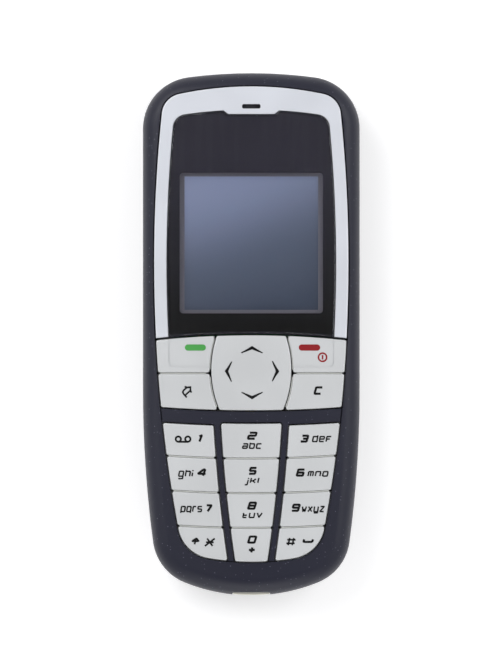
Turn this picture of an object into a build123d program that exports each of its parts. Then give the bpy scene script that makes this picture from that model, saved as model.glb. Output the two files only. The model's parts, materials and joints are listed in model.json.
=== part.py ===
from build123d import *
import math
import os

# A candybar feature phone, lying on its back.
# X runs to the right, Y towards the earpiece and Z out of the display.
# The origin is in the middle of the plan, on the flat of the back. Lengths are in millimetres.

# Whole phone
body_length = 105.0
body_width = 43.6
body_thickness = 18.0
overrun = 30.0

# Outline of the body, as seen from the front
top_crown_radius = 98.9
top_corner_radius = 10.4
taper_length = 41.0
taper_radius = 226.0
bottom_crown_radius = 36.0
bottom_corner_radius = 10.2

# Section of the body
shell_wall = 1.5
front_crown_radius = 170.0
front_edge_radius = 3.6
back_edge_radius = 4.6
parting_height = 9.6
lip_height = 1.1
lip_thickness = 0.6
seam_groove = 0.3
piece_gap = 0.1
moving_gap = 0.25

# Outline of the face, which the bezel and the keys share
face_margin = 2.3
face_top_drop = 2.8
face_bottom_rise = 6.9
face_side_radius = 293.0
face_widest_rise = 66.8
face_top_radius = 70.7
face_top_corner = 4.4
face_bottom_radius = 51.4
face_bottom_corner = 7.3
moat = 0.28
moat_depth = 0.45

# Display window
bezel_leg_width = 2.55
lens_top_drop = 7.5
lens_top_radius = 93.9
lens_top_corner = 2.7
lens_thickness = 1.0
lens_proud = 0.25
lens_edge_radius = 0.3
mask_thickness = 0.15
mask_margin = 0.4
window_width = 28.7
window_height = 28.2
window_middle_drop = 34.2
window_corner = 0.7
aperture_margin = 0.6
bezel_proud = 0.42
bezel_inner_round = 0.3
bezel_leg_gap = 0.43
tab_drop = 0.9
tab_root_width = 11.6
tab_tip_width = 9.4
tab_corner = 0.5

# Earpiece
ear_slot_width = 3.7
ear_slot_height = 0.9
ear_slot_corner = 0.35
ear_slot_drop = 6.8
ear_mesh_margin = 0.7
ear_mesh_thickness = 0.2
receiver_width = 11.0
receiver_height = 6.6
receiver_drop = 7.9
receiver_corner = 2.4
receiver_rim = 0.8

# Keys
key_proud = 0.6
key_base = 14.0
key_travel = 0.4
key_edge_radius = 0.3
key_corner_radius = 0.4
key_flange = 0.5
key_stem_radius = 1.2
key_split = 0.28
dome_gap = 0.15

# Cluster of the four side keys and the navigation key
cluster_top_rise = 52.3
cluster_top_radius = 180.0
cluster_height = 15.05
cluster_split_rise = 44.7
row_radius = 250.0
barrel_half_width = 8.03
barrel_radius = 20.65
barrel_middle_rise = 45.45
barrel_gap = 0.36
dish_radius = 5.6
dish_depth = 0.32
side_step_depth = 0.22
side_step_reach = 16.6
side_step_rise = 1.1
side_step_corner = 1.2

# Navigation key's working parts
rocker_inset = 1.2
rocker_thickness = 0.6
rocker_nub_radius = 0.9
rocker_nub_reach = 5.6
nav_gap = 0.3
plunger_radius = 1.6
plunger_head = 0.5

# Number keys
number_top_rise = 34.1
number_mid_rise = 0.45
number_first_height = 6.5
number_row_pitch = 6.95
number_rows = 4
rib_width = 1.55
rib_spread = 7.31
rib_radius = 300.0
rib_parallel_rise = 51.5

# Board and what lies on its front
board_bottom = 10.2
board_thickness = 1.0
board_margin = 0.8
dome_sheet_thickness = 0.2
dome_sheet_margin = 1.6
dome_radius = 2.1
dome_height = 0.35
mat_thickness = 0.8
mat_hole_play = 0.3
mat_top_rise = 51.8

# Display module
panel_width = 26.7
panel_height = 26.8
lcd_width = 32.8
lcd_length = 37.0
lcd_bottom_drop = 52.2
lcd_height = 3.6
lcd_wall = 0.9
lcd_base = 0.6
lcd_rim = 0.35
lcd_corner = 0.8
guide_thickness = 1.1
gasket_width = 1.0
flex_width = 14.0
flex_thickness = 0.2
flex_reach = 2.4
flex_rise = 1.6

# Back, battery and its bay
cover_wall = 1.2
cover_split_height = 5.0
cover_top_drop = 22.5
cover_gap = 0.22
divider_wall = 1.2
floor_bottom = 7.4
floor_thickness = 1.6
battery_length = 53.0
battery_width = 34.0
battery_thickness = 5.6
battery_rise = 45.0
battery_corner = 2.0
battery_edge = 0.6
bay_play = 0.3
bay_wall = 0.9
bay_wall_bottom = 3.6
contact_width = 9.0
contact_depth = 2.6
contact_bottom = 3.4
contact_count = 3
contact_blade = 1.1

# SIM card and its holder
sim_length = 25.0
sim_width = 15.0
sim_thickness = 0.76
sim_corner = 3.0
sim_rise = 37.5
sim_x = 4.0
sim_travel = 12.0
sim_roof = 0.2
sim_rail = 0.9
sim_rail_thickness = 0.2

# Screws and their bosses
boss_radius = 1.7
boss_play = 0.3
screw_radius = 0.8
screw_head_radius = 1.5
screw_head_height = 1.0
screw_length = 5.4
screw_socket_radius = 0.6
screw_socket_depth = 0.6
screw_hole_play = 0.1
boss_bite = 0.15
upper_screw_drop = 28.5
lower_screw_margin = 5.6
lower_screw_rise = 10.5

# Bottom end: connector, charging socket and microphone
notch_width = 7.6
notch_depth = 0.7
surround_gap = 0.1
surround_bottom = 5.3
surround_top = 13.2
surround_depth = 3.0
surround_edge = 0.3
port_width = 5.4
port_height = 2.4
port_corner = 0.4
port_z = 8.6
port_tongue_height = 0.6
port_tongue_width = 4.0
connector_width = 11.0
connector_length = 7.0
connector_height = 3.2
socket_x = -10.8
socket_z = 7.3
socket_radius = 2.2
socket_bore_radius = 1.05
socket_bore_length = 7.0
socket_length = 8.4
socket_collar_radius = 1.9
microphone_x = 10.8
microphone_z = 7.2
microphone_hole_radius = 0.5
microphone_radius = 1.7
microphone_length = 1.3
boot_wall = 0.6

# Top compartment: loudspeaker, buzzing motor and aerial
speaker_radius = 5.9
speaker_drop = 10.7
speaker_height = 3.2
speaker_rim = 0.8
speaker_gasket = 0.3
speaker_cone_depth = 0.6
grille_slot_width = 0.9
grille_slot_pitch = 2.0
grille_slot_count = 5
grille_length = 8.0
motor_radius = 2.0
motor_length = 9.0
motor_margin = 7.8
motor_drop = 18.0
motor_boot_wall = 0.6
motor_boot_length = 6.0
motor_shaft_radius = 0.4
weight_radius = 2.3
weight_length = 3.6
weight_bore_play = 0.05
weight_gap = 0.6
carrier_width = 21.0
carrier_length = 14.0
carrier_x = -6.5
carrier_drop = 11.5
carrier_height = 3.6
carrier_corner = 2.5
carrier_pocket_wall = 1.0
aerial_thickness = 0.2
aerial_slot_width = 0.9
aerial_inset = 0.8

# Under the board
can_wall = 0.2
can_height = 1.05
can_corner = 0.8
radio_can_width = 26.0
radio_can_top_drop = 19.2
radio_can_gap = 1.1
logic_can_width = 28.0
logic_can_length = 20.0
logic_can_rise = 26.5
cell_radius = 2.4
cell_height = 1.1
cell_x = -10.0
cell_drop = 40.5

# Cover release button
release_width = 9.0
release_height = 3.0
release_drop = 18.9
release_flange = 0.4
release_flange_thickness = 0.6
release_recess = 0.2
release_rib_count = 3
release_rib = 0.35

# Sizes that follow from those above
half_length = body_length / 2
half_width = body_width / 2
face_top = half_length - face_top_drop
face_widest = face_widest_rise - half_length
lens_top = half_length - lens_top_drop
window_middle = half_length - window_middle_drop
ear_slot_y = half_length - ear_slot_drop
receiver_y = half_length - receiver_drop
lcd_bottom_y = half_length - lcd_bottom_drop
cover_top_y = half_length - cover_top_drop
upper_screw_y = half_length - upper_screw_drop
speaker_y = half_length - speaker_drop
motor_y = half_length - motor_drop
carrier_y = half_length - carrier_drop
release_y = half_length - release_drop
cell_y = half_length - cell_drop
face_bottom = face_bottom_rise - half_length
cluster_top = cluster_top_rise - half_length
cluster_split = cluster_split_rise - half_length
barrel_middle = barrel_middle_rise - half_length
number_top = number_top_rise - half_length
rib_parallel_y = rib_parallel_rise - half_length
mat_top_y = mat_top_rise - half_length
battery_y = battery_rise - half_length
sim_y = sim_rise - half_length
lower_screw_y = lower_screw_rise - half_length
logic_can_y = logic_can_rise - half_length
face_width = body_width - face_margin * 2
lens_width = face_width - bezel_leg_width * 2
motor_x = half_width - motor_margin
upper_screw_x = half_width - shell_wall - boss_radius + boss_bite
lower_screw_x = half_width - lower_screw_margin
deck_top = body_thickness - key_proud
recess_depth = lens_thickness + mask_thickness - lens_proud
cluster_bottom = cluster_top - cluster_height
first_split = number_top - number_first_height
board_top = board_bottom + board_thickness
dome_base = board_top + dome_sheet_thickness
stem_bottom = dome_base + dome_height + key_travel + dome_gap
floor_top = floor_bottom + floor_thickness
lcd_middle_y = lcd_bottom_y + lcd_length / 2
lcd_top = board_top + lcd_height
sim_bottom = floor_bottom + sim_rail_thickness + moving_gap
contact_y = battery_y + battery_length / 2 + bay_play + bay_wall + contact_depth / 2
radio_can_top = half_length - radio_can_top_drop
radio_can_bottom = contact_y + contact_depth / 2 + radio_can_gap
plunger_top = stem_bottom + plunger_head
rocker_bottom = plunger_top + nav_gap
nav_key_base = rocker_bottom + rocker_thickness + nav_gap
sim_roof_height = sim_bottom + sim_thickness + sim_roof
motor_z = board_bottom - motor_boot_wall - motor_radius
screw_places = [
    (side * x, y)
    for x, y in [(upper_screw_x, upper_screw_y), (lower_screw_x, lower_screw_y)]
    for side in (-1, 1)
]


# Shapes that many pieces share
def disc(x, y, radius):
    """A round face of the plan."""
    return Pos(x, y) * Circle(radius)


def prism(plan, low, high):
    """The plan raised between two heights."""
    return extrude(Pos(0, 0, low) * plan, high - low, dir=(0, 0, 1))


def slab(low, high):
    """Everything between two heights."""
    return prism(Rectangle(body_width + overrun, body_length + overrun), low, high)


def band(low_y, high_y):
    """Everything in the plan between two places along the phone."""
    return Pos(0, (low_y + high_y) / 2) * Rectangle(body_width + overrun, high_y - low_y)


def rounded(width, height, corner, x=0, y=0):
    """A rectangle with round corners."""
    return Pos(x, y) * RectangleRounded(width, height, corner)


def body_outline(inset=0):
    """Plan of the body: a crowned top, straight sides that taper in, and a rounder bottom."""
    taper_y = taper_length - half_length
    end = half_length - inset
    upper = band(taper_y, end) & disc(0, half_length - top_crown_radius, top_crown_radius - inset)
    upper &= Rectangle(body_width - inset * 2, body_length)
    lower = band(-end, taper_y)
    lower &= disc(0, bottom_crown_radius - half_length, bottom_crown_radius - inset)
    for side in (-1, 1):
        lower &= disc(side * (half_width - taper_radius), taper_y, taper_radius - inset)
    plan = Sketch() + (upper + lower).faces()
    plan = fillet(plan.vertices().group_by(Axis.Y)[-1], top_corner_radius - inset)
    return fillet(plan.vertices().group_by(Axis.Y)[0], bottom_corner_radius - inset)


def face_outline(grow=0):
    """Plan of the face: four shallow arcs with round corners."""
    plan = disc(0, face_top - face_top_radius, face_top_radius + grow)
    plan &= disc(0, face_bottom + face_bottom_radius, face_bottom_radius + grow)
    for side in (-1, 1):
        plan &= disc(side * (face_width / 2 - face_side_radius), face_widest, face_side_radius + grow)
    plan = fillet(plan.vertices().group_by(Axis.Y)[-1], face_top_corner + grow)
    return fillet(plan.vertices().group_by(Axis.Y)[0], face_bottom_corner + grow)


def under_crown(inset):
    """Everything below the crowned front, or below a surface at an even depth under it."""
    barrel = Cylinder(front_crown_radius - inset, body_length + overrun, rotation=(90, 0, 0))
    return Pos(0, 0, deck_top - front_crown_radius) * barrel


def crowned(plan, low, inset):
    """The plan raised from a height to a surface at an even depth under the front."""
    return prism(plan, low, body_thickness + overrun) & under_crown(inset)


def between_crowns(plan, deep, shallow):
    """The plan between two surfaces that follow the front."""
    return crowned(plan, parting_height, shallow) - under_crown(deep)


def body_blank(inset):
    """The whole body as a solid, drawn in all round by the inset."""
    blank = crowned(body_outline(inset), inset, inset)
    front = blank.faces().sort_by(Axis.Z)[-1].edges()
    blank = fillet(front, front_edge_radius - inset)
    back = blank.faces().sort_by(Axis.Z)[0].edges()
    return fillet(back, back_edge_radius - inset)


outline = body_outline()
inner_outline = body_outline(shell_wall)
face = face_outline()
outer_body = body_blank(0)
inner_body = body_blank(shell_wall)
flange_room = body_blank(shell_wall + moving_gap)


# Plans of the window and the keys
def above_row(y, grow=0):
    """What lies above a shallow smiling line."""
    return disc(0, y + row_radius, row_radius + grow)


def cluster_band(grow=0):
    """The strip that holds the navigation key and the four keys beside it."""
    return above_row(cluster_bottom, grow) & disc(
        0, cluster_top - cluster_top_radius, cluster_top_radius + grow
    )


def above_cluster(gap):
    """What lies above the cluster, clear of it by the gap."""
    return band(cluster_top - overrun, half_length + overrun) - disc(
        0, cluster_top - cluster_top_radius, cluster_top_radius + gap
    )


def lens_plan(inset=0):
    """The lens: arcs like the face's, less the tab under the earpiece."""
    plan = disc(0, lens_top - lens_top_radius, lens_top_radius - inset)
    for side in (-1, 1):
        plan &= disc(side * (lens_width / 2 - face_side_radius), face_widest, face_side_radius - inset)
    plan &= band(cluster_top - overrun, half_length)
    plan = fillet(plan.vertices().group_by(Axis.Y)[-1], lens_top_corner - inset)
    root = tab_root_width / 2 + inset
    tip = tab_tip_width / 2 + inset
    low = lens_top - tab_drop - inset
    corners = [
        (-root, lens_top), (-tip, low), (tip, low), (root, lens_top), (root, half_length), (-root, half_length)
    ]
    tab = make_face(Polyline(*corners, close=True))
    tab = fillet(tab.vertices().group_by(Axis.Y)[0], tab_corner)
    return (plan - tab) & above_cluster(bezel_leg_gap + inset)


def barrel(grow):
    """The navigation key's bulging outline, endless up and down."""
    plan = disc(barrel_half_width - barrel_radius, barrel_middle, barrel_radius + grow)
    return plan & disc(barrel_radius - barrel_half_width, barrel_middle, barrel_radius + grow)


def right_half():
    return Pos(half_width, 0) * Rectangle(body_width, body_length)


def column_plan(column, grow=0):
    """The middle column of number keys, or the right-hand one, bounded by the curved ribs."""
    if column == 0:
        reach = rib_spread - rib_width / 2
        plan = face_outline(grow) & disc(reach - rib_radius, rib_parallel_y, rib_radius + grow)
        return plan & disc(rib_radius - reach, rib_parallel_y, rib_radius + grow)
    reach = rib_spread + rib_width / 2
    return (face_outline(grow) & right_half()) - disc(reach - rib_radius, rib_parallel_y, rib_radius - grow)


def column_top(column):
    """The middle column starts a little higher than the outer two."""
    return number_top + (number_mid_rise if column == 0 else 0)


def number_row(row, column):
    """The strip that one row of number keys fills, with half a split off each shared side."""
    top = column_top(column) if row == 0 else first_split - (row - 1) * number_row_pitch - key_split / 2
    strip = band(-half_length, 0) - above_row(top)
    if row < number_rows - 1:
        strip &= above_row(first_split - row * number_row_pitch + key_split / 2)
    return strip


def rounded_corners(plan, radius):
    """Round the sharp corners of a plan, and leave its curves alone."""
    return offset(offset(plan, -radius, kind=Kind.INTERSECTION), radius)


# Each key's row or half, and its column or side. Left-hand keys mirror the right-hand ones.
number_keys = {
    "key_1": (0, -1), "key_2": (0, 0), "key_3": (0, 1),
    "key_4": (1, -1), "key_5": (1, 0), "key_6": (1, 1),
    "key_7": (2, -1), "key_8": (2, 0), "key_9": (2, 1),
    "key_star": (3, -1), "key_0": (3, 0), "key_hash": (3, 1),
}
side_keys = {"send_key": (1, -1), "end_key": (1, 1), "shortcut_key": (-1, -1), "clear_key": (-1, 1)}


def number_key_plan(name):
    row, column = number_keys[name]
    return column_plan(abs(column)) & number_row(row, column)


def side_key_strip(upper):
    """The upper or lower half of the cluster."""
    if upper > 0:
        return band(cluster_split + key_split / 2, half_length)
    return band(-half_length, cluster_split - key_split / 2)


def side_key_plan(name, grow=0):
    """A side key as it is on the right."""
    plan = face_outline(grow) & cluster_band() & side_key_strip(side_keys[name][0]) & right_half()
    return plan - barrel(barrel_gap)


def stem_place(plan):
    """The middle of a key, where its stem and its dome are."""
    middle = plan.faces()[0].center(CenterOf.MASS)
    return middle.X, middle.Y


def on_its_side(shape, side):
    """The right-hand shape, or its mirror image for the left."""
    return mirror(shape, Plane.YZ) if side < 0 else shape


number_plans = {name: number_key_plan(name) for name in number_keys}
side_plans = {name: side_key_plan(name) for name in side_keys}
nav_plan = barrel(0) & cluster_band()
nav_middle = (0, (cluster_top + cluster_bottom) / 2)
key_places = []
for name, plan in {**number_plans, **side_plans}.items():
    x, y = stem_place(plan)
    side = {**number_keys, **side_keys}[name][1]
    key_places.append((-x if side < 0 else x, y))
nav_nubs = [
    (0, nav_middle[1] + rocker_nub_reach), (0, nav_middle[1] - rocker_nub_reach),
    (rocker_nub_reach, nav_middle[1]), (-rocker_nub_reach, nav_middle[1]),
]
dome_places = [*key_places, nav_middle, *nav_nubs]


# Front of the phone
def port_cut():
    """The way in through both housings for the bottom connector's surround."""
    plan = band(-half_length - overrun, surround_depth - half_length) & Rectangle(
        notch_width, body_length + overrun * 2
    )
    return prism(plan, surround_bottom - surround_gap, surround_top + surround_gap)


def front_cover():
    """Moulded front: crowned deck, window ledge, key openings, web, ribs and screw bosses."""
    cover = (outer_body - inner_body) & slab(parting_height, body_thickness)
    ledge = face_outline(moat) & above_cluster(0)
    cover -= prism(ledge, parting_height, body_thickness) - under_crown(recess_depth)
    aperture = rounded(
        window_width + aperture_margin, window_height + aperture_margin, window_corner, 0, window_middle
    )
    cover -= prism(aperture, parting_height, body_thickness)
    ear_way = rounded(
        ear_slot_width + ear_mesh_margin, ear_slot_height + ear_mesh_margin, ear_slot_corner, 0, ear_slot_y
    )
    cover -= prism(ear_way, parting_height, body_thickness)
    cluster = face_outline(moat) & cluster_band(moat)
    cover -= prism(cluster, parting_height, body_thickness)
    for column in (-1, 0, 1):
        field = column_plan(abs(column), moat) - above_row(column_top(column), -moat)
        field = rounded_corners(field, key_corner_radius + moat)
        cover -= on_its_side(prism(field, parting_height, body_thickness), column)
    crease = face_outline(moat) - face
    cover -= prism(crease, parting_height, body_thickness) - under_crown(moat_depth)
    for x, y in screw_places:
        boss = crowned(disc(x, y, boss_radius), floor_top, shell_wall - piece_gap)
        pilot = prism(disc(x, y, screw_radius), floor_top, floor_top + screw_length)
        cover += (boss & body_blank(shell_wall - piece_gap)) - pilot
    rebate = body_outline(shell_wall - lip_thickness - piece_gap) - inner_outline
    cover -= prism(rebate, parting_height, parting_height + lip_height + piece_gap)
    notch = band(-half_length - overrun, notch_depth - half_length) & Rectangle(
        notch_width, body_length + overrun * 2
    )
    cover -= prism(notch, parting_height, body_thickness)
    groove = band(-half_length - overrun, half_length + overrun) - body_outline(seam_groove)
    cover -= prism(groove, parting_height, parting_height + seam_groove)
    return cover - port_cut()


def display_bezel():
    """Glossy horseshoe trim round the lens, with the earpiece slot in its tab."""
    plan = (face & above_cluster(bezel_leg_gap)) - lens_plan(-piece_gap / 2)
    bezel = between_crowns(plan, recess_depth, -bezel_proud)
    rim = bezel.faces().sort_by(Axis.Z)[-1]
    bezel = fillet(rim.edges(), bezel_inner_round)
    slot = rounded(ear_slot_width, ear_slot_height, ear_slot_corner, 0, ear_slot_y)
    bezel -= prism(slot, parting_height, body_thickness + overrun)
    return bezel - between_crowns(ear_mesh_plan(piece_gap), recess_depth, recess_depth - ear_mesh_thickness)


def ear_mesh_plan(play):
    width = ear_slot_width + ear_mesh_margin * 2 + play
    height = ear_slot_height + ear_mesh_margin * 2 + play
    return rounded(width, height, ear_slot_corner, 0, ear_slot_y)


def earpiece_mesh():
    plan = ear_mesh_plan(0)
    return between_crowns(plan, recess_depth, recess_depth - ear_mesh_thickness)


def display_lens():
    """Curved lens that fills the bezel."""
    lens = between_crowns(lens_plan(), recess_depth - mask_thickness, -lens_proud)
    return fillet(lens.faces().sort_by(Axis.Z)[-1].edges(), lens_edge_radius)


def lens_mask():
    """Dark film behind the lens that leaves the window clear."""
    plan = lens_plan(mask_margin) - rounded(window_width, window_height, window_corner, 0, window_middle)
    return between_crowns(plan, recess_depth, recess_depth - mask_thickness)


# Keys
def key_cap(plan, flange, place):
    """A hard key: crowned top with a rolled rim, a flange under the deck, and a stem."""
    cap = crowned(rounded_corners(plan, key_corner_radius), key_base, -key_proud)
    cap = fillet(cap.faces().sort_by(Axis.Z)[-1].edges(), key_edge_radius)
    cap += prism(flange, key_base, body_thickness) & flange_room
    return cap + prism(disc(*place, key_stem_radius), stem_bottom, key_base)


def number_key(name):
    row, column = number_keys[name]
    plan = number_plans[name]
    flange = column_plan(abs(column), key_flange) & number_row(row, column)
    return on_its_side(key_cap(plan, flange, stem_place(plan)), column)


def side_key(name):
    """A side key, and on the upper two the raised corner that carries the call symbol."""
    upper, side = side_keys[name]
    plan = side_plans[name]
    key = key_cap(plan, side_key_plan(name, key_flange), stem_place(plan))
    if upper > 0:
        low = cluster_split + side_step_rise
        step = rounded(side_step_reach * 2, half_length, side_step_corner, 0, low + half_length / 2)
        key -= prism(step, key_base, body_thickness + overrun) - under_crown(side_step_depth - key_proud)
    return on_its_side(key, side)


def navigation_key():
    """Barrel-shaped cap with a round dish for the thumb."""
    cap = crowned(rounded_corners(nav_plan, key_corner_radius), nav_key_base, -key_proud)
    cap = fillet(cap.faces().sort_by(Axis.Z)[-1].edges(), key_edge_radius)
    ball_radius = (dish_radius**2 + dish_depth**2) / (2 * dish_depth)
    return cap - Pos(*nav_middle, body_thickness - dish_depth + ball_radius) * Sphere(ball_radius)


def navigation_rocker():
    """Plate under the cap with a nub for each direction."""
    plan = barrel(-rocker_inset) & cluster_band(-rocker_inset)
    rocker = prism(plan, rocker_bottom, rocker_bottom + rocker_thickness)
    for x, y in nav_nubs:
        rocker += prism(disc(x, y, rocker_nub_radius), stem_bottom, rocker_bottom)
    return rocker


def navigation_plunger():
    """Post that presses the middle dome."""
    return prism(disc(*nav_middle, plunger_radius), stem_bottom, plunger_top)


def keypad_area(margin):
    """The part of the board that the keypad covers."""
    plan = body_outline(shell_wall + margin) & band(-half_length, mat_top_y)
    for x, y in screw_places:
        plan -= disc(x, y, boss_radius + boss_play)
    return plan


def keypad_mat():
    """Rubber mat with a well round each dome and stem."""
    plan = keypad_area(dome_sheet_margin)
    for x, y in dome_places:
        plan -= disc(x, y, dome_radius + mat_hole_play)
    return prism(plan, dome_base, dome_base + mat_thickness)


def dome_sheet():
    return prism(keypad_area(dome_sheet_margin), board_top, dome_base)


def key_domes():
    """Snap domes, each a shallow cap."""
    ball_radius = (dome_radius**2 + dome_height**2) / (2 * dome_height)
    ball = Pos(0, 0, dome_base + dome_height - ball_radius) * Sphere(ball_radius)
    cap = ball & prism(Circle(dome_radius + mat_hole_play), dome_base, dome_base + dome_height)
    return Compound([Pos(x, y) * cap.solids()[0] for x, y in dome_places])


# Board and display module
def main_board():
    plan = body_outline(shell_wall + board_margin)
    for x, y in screw_places:
        plan -= disc(x, y, boss_radius + boss_play)
    plan -= band(-half_length, surround_depth - half_length)
    return prism(plan, board_bottom, board_top)


def lcd_plan(inset):
    return rounded(lcd_width - inset * 2, lcd_length - inset * 2, lcd_corner, 0, lcd_middle_y)


def lcd_frame():
    """Tray for the display, with a rim that frames the picture."""
    frame = prism(lcd_plan(0), board_top, lcd_top)
    frame -= prism(lcd_plan(lcd_wall), board_top + lcd_base, lcd_top - lcd_rim)
    view = Pos(0, window_middle) * Rectangle(panel_width, panel_height)
    return frame - prism(view, board_top + lcd_base, lcd_top)


def lcd_light_guide():
    low = board_top + lcd_base
    return prism(lcd_plan(lcd_wall + piece_gap), low, low + guide_thickness)


def lcd_panel():
    low = board_top + lcd_base + guide_thickness
    return prism(lcd_plan(lcd_wall + piece_gap), low, lcd_top - lcd_rim)


def display_gasket():
    """Foam between the display module and the cover's ledge."""
    plan = lcd_plan(0) - lcd_plan(gasket_width)
    return crowned(plan, lcd_top, shell_wall)


def lcd_flex():
    """Ribbon from the module's top edge down onto the board."""
    top_y = lcd_bottom_y + lcd_length
    profile = Plane.YZ * make_face(
        Polyline(
            (top_y, board_top),
            (top_y + flex_reach, board_top),
            (top_y + flex_reach, board_top + flex_thickness),
            (top_y + flex_thickness, board_top + flex_thickness),
            (top_y + flex_thickness, board_top + flex_rise),
            (top_y, board_top + flex_rise),
            close=True,
        )
    )
    return extrude(profile, flex_width / 2, both=True)


def earpiece_receiver():
    plan = rounded(receiver_width, receiver_height, receiver_corner, 0, receiver_y)
    room = rounded(
        receiver_width - receiver_rim * 2, receiver_height - receiver_rim * 2,
        receiver_corner - receiver_rim, 0, receiver_y,
    )
    return prism(plan, board_top, lcd_top) + crowned(plan - room, lcd_top, shell_wall)


def shield_can(width, length, y):
    """Folded steel lid over a group of chips."""
    plan = rounded(width, length, can_corner, 0, y)
    room = rounded(width - can_wall * 2, length - can_wall * 2, can_corner - can_wall, 0, y)
    can = prism(plan, board_bottom - can_height, board_bottom)
    return can - prism(room, board_bottom - can_height + can_wall, board_bottom)


def backup_cell():
    return prism(disc(cell_x, cell_y, cell_radius), board_bottom - cell_height, board_bottom)


# Bottom end
def along_y(x, z, radius, low_y, high_y):
    """A round bar that runs along the phone."""
    bar = Cylinder(radius, high_y - low_y, rotation=(90, 0, 0))
    return Pos(x, (low_y + high_y) / 2, z) * bar


def end_wall_y(x):
    """Where the inside of the bottom wall is, at a distance from the middle."""
    return bottom_crown_radius - half_length - math.sqrt((bottom_crown_radius - shell_wall) ** 2 - x**2)


socket_mouth_y = end_wall_y(abs(socket_x) - socket_radius) + piece_gap
boot_mouth_y = end_wall_y(abs(microphone_x) - microphone_radius - boot_wall) + piece_gap


def connector_surround():
    """Pale insert in the bottom end, round the slot of the connector."""
    plan = outline & band(-half_length, surround_depth - half_length) & Rectangle(
        notch_width - surround_gap * 2, body_length
    )
    insert = prism(plan, surround_bottom, surround_top)
    insert = fillet(insert.faces().sort_by(Axis.Y)[0].edges(), surround_edge)
    slot = Plane.XZ * Pos(0, port_z) * RectangleRounded(port_width, port_height, port_corner)
    return insert - extrude(slot, half_length + overrun)


def interface_connector():
    """Connector block under the board, with its contact tongue in the slot."""
    back_y = surround_depth + piece_gap - half_length + connector_length
    block = Pos(0, back_y - connector_length / 2, board_bottom - connector_height / 2) * Box(
        connector_width, connector_length, connector_height
    )
    tongue = Pos(0, back_y - connector_length - surround_depth / 4, port_z) * Box(
        port_tongue_width, surround_depth / 2, port_tongue_height
    )
    return block + tongue


def charge_socket():
    """Round socket for the charger's plug."""
    body = along_y(socket_x, socket_z, socket_radius, socket_mouth_y, socket_mouth_y + socket_length)
    bore = along_y(
        socket_x, socket_z, socket_bore_radius, socket_mouth_y - overrun, socket_mouth_y + socket_bore_length
    )
    return body - bore


def microphone_boot():
    outer = along_y(
        microphone_x, microphone_z, microphone_radius + boot_wall, boot_mouth_y,
        boot_mouth_y + boot_wall + microphone_length,
    )
    seat = along_y(
        microphone_x, microphone_z, microphone_radius + piece_gap / 2, boot_mouth_y + boot_wall,
        boot_mouth_y + overrun,
    )
    sound_way = along_y(
        microphone_x, microphone_z, microphone_hole_radius, boot_mouth_y - overrun, boot_mouth_y + overrun
    )
    return outer - seat - sound_way


def microphone():
    low = boot_mouth_y + boot_wall
    return along_y(microphone_x, microphone_z, microphone_radius, low, low + microphone_length)


# Back of the phone
def battery_plan(grow):
    return rounded(
        battery_width + grow * 2, battery_length + grow * 2, battery_corner + grow, 0, battery_y
    )


def sim_plan(grow, reach):
    """The card's outline, stretched along its slide by the reach."""
    return rounded(
        sim_width + grow * 2, sim_length + grow * 2 + reach, moving_gap + grow, sim_x, sim_y - reach / 2
    )


def rear_housing():
    """Moulded back frame: battery bay, top compartment, rails for the SIM card and screw seats."""
    shell = (outer_body - inner_body) & slab(0, parting_height)
    covered = band(-half_length, cover_top_y)
    shell -= prism(covered & Rectangle(body_width, body_length), -overrun, cover_split_height)
    floor_plan = body_outline(shell_wall - piece_gap)
    housing = shell + prism(floor_plan, floor_bottom, floor_top)
    divider = inner_outline & band(cover_top_y, cover_top_y + divider_wall)
    housing += prism(divider, 0, floor_bottom) & outer_body
    bay = battery_plan(bay_play + bay_wall) - battery_plan(bay_play)
    housing += prism(bay, bay_wall_bottom, floor_bottom)
    lip = body_outline(shell_wall - lip_thickness) - inner_outline
    housing += prism(lip, floor_top, parting_height + lip_height)
    top_room = inner_outline & band(cover_top_y + divider_wall, half_length)
    housing -= prism(top_room, floor_bottom, floor_top)
    housing -= prism(sim_plan(moving_gap, sim_travel), floor_bottom - overrun / 10, sim_roof_height)
    contact_way = band(battery_y, contact_y + (contact_depth + bay_play) / 2) - battery_plan(bay_play)
    contact_way &= Rectangle(contact_width + bay_play, body_length)
    housing -= prism(contact_way, contact_bottom, floor_top)
    for x, y in screw_places:
        housing -= prism(disc(x, y, screw_radius + screw_hole_play), floor_bottom, floor_top)
        housing -= prism(disc(x, y, screw_head_radius + screw_hole_play), cover_split_height, floor_bottom)
    end_room = Pos(0, connector_room_y()) * Rectangle(
        connector_width + bay_play * 2, connector_length + surround_depth
    )
    housing -= prism(end_room & inner_outline, floor_bottom, floor_top)
    socket_end_y = socket_mouth_y + socket_length + bay_play
    housing -= along_y(socket_x, socket_z, socket_radius + piece_gap, socket_mouth_y, socket_end_y)
    housing -= along_y(socket_x, socket_z, socket_collar_radius, -half_length, socket_mouth_y + piece_gap)
    housing -= along_y(
        microphone_x, microphone_z, microphone_radius + boot_wall + piece_gap, boot_mouth_y,
        boot_mouth_y + boot_wall + microphone_length + bay_play,
    )
    hole_end_y = boot_mouth_y + piece_gap
    housing -= along_y(microphone_x, microphone_z, microphone_hole_radius, -half_length, hole_end_y)
    housing -= prism(grille_plan(), -overrun, shell_wall + piece_gap)
    button_way = rounded(
        release_width + moving_gap * 2, release_height + moving_gap * 2, release_height / 2, 0, release_y
    )
    housing -= prism(button_way, -overrun, shell_wall + piece_gap)
    return housing - port_cut()


def connector_room_y():
    return (surround_depth + connector_length) / 2 + piece_gap * 3 - half_length


def grille_plan():
    """Slots in the back in front of the loudspeaker."""
    slots = Sketch()
    for index in range(grille_slot_count):
        x = (index - (grille_slot_count - 1) / 2) * grille_slot_pitch
        slots += Pos(x, speaker_y) * SlotOverall(grille_length, grille_slot_width, rotation=90)
    return slots


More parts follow.
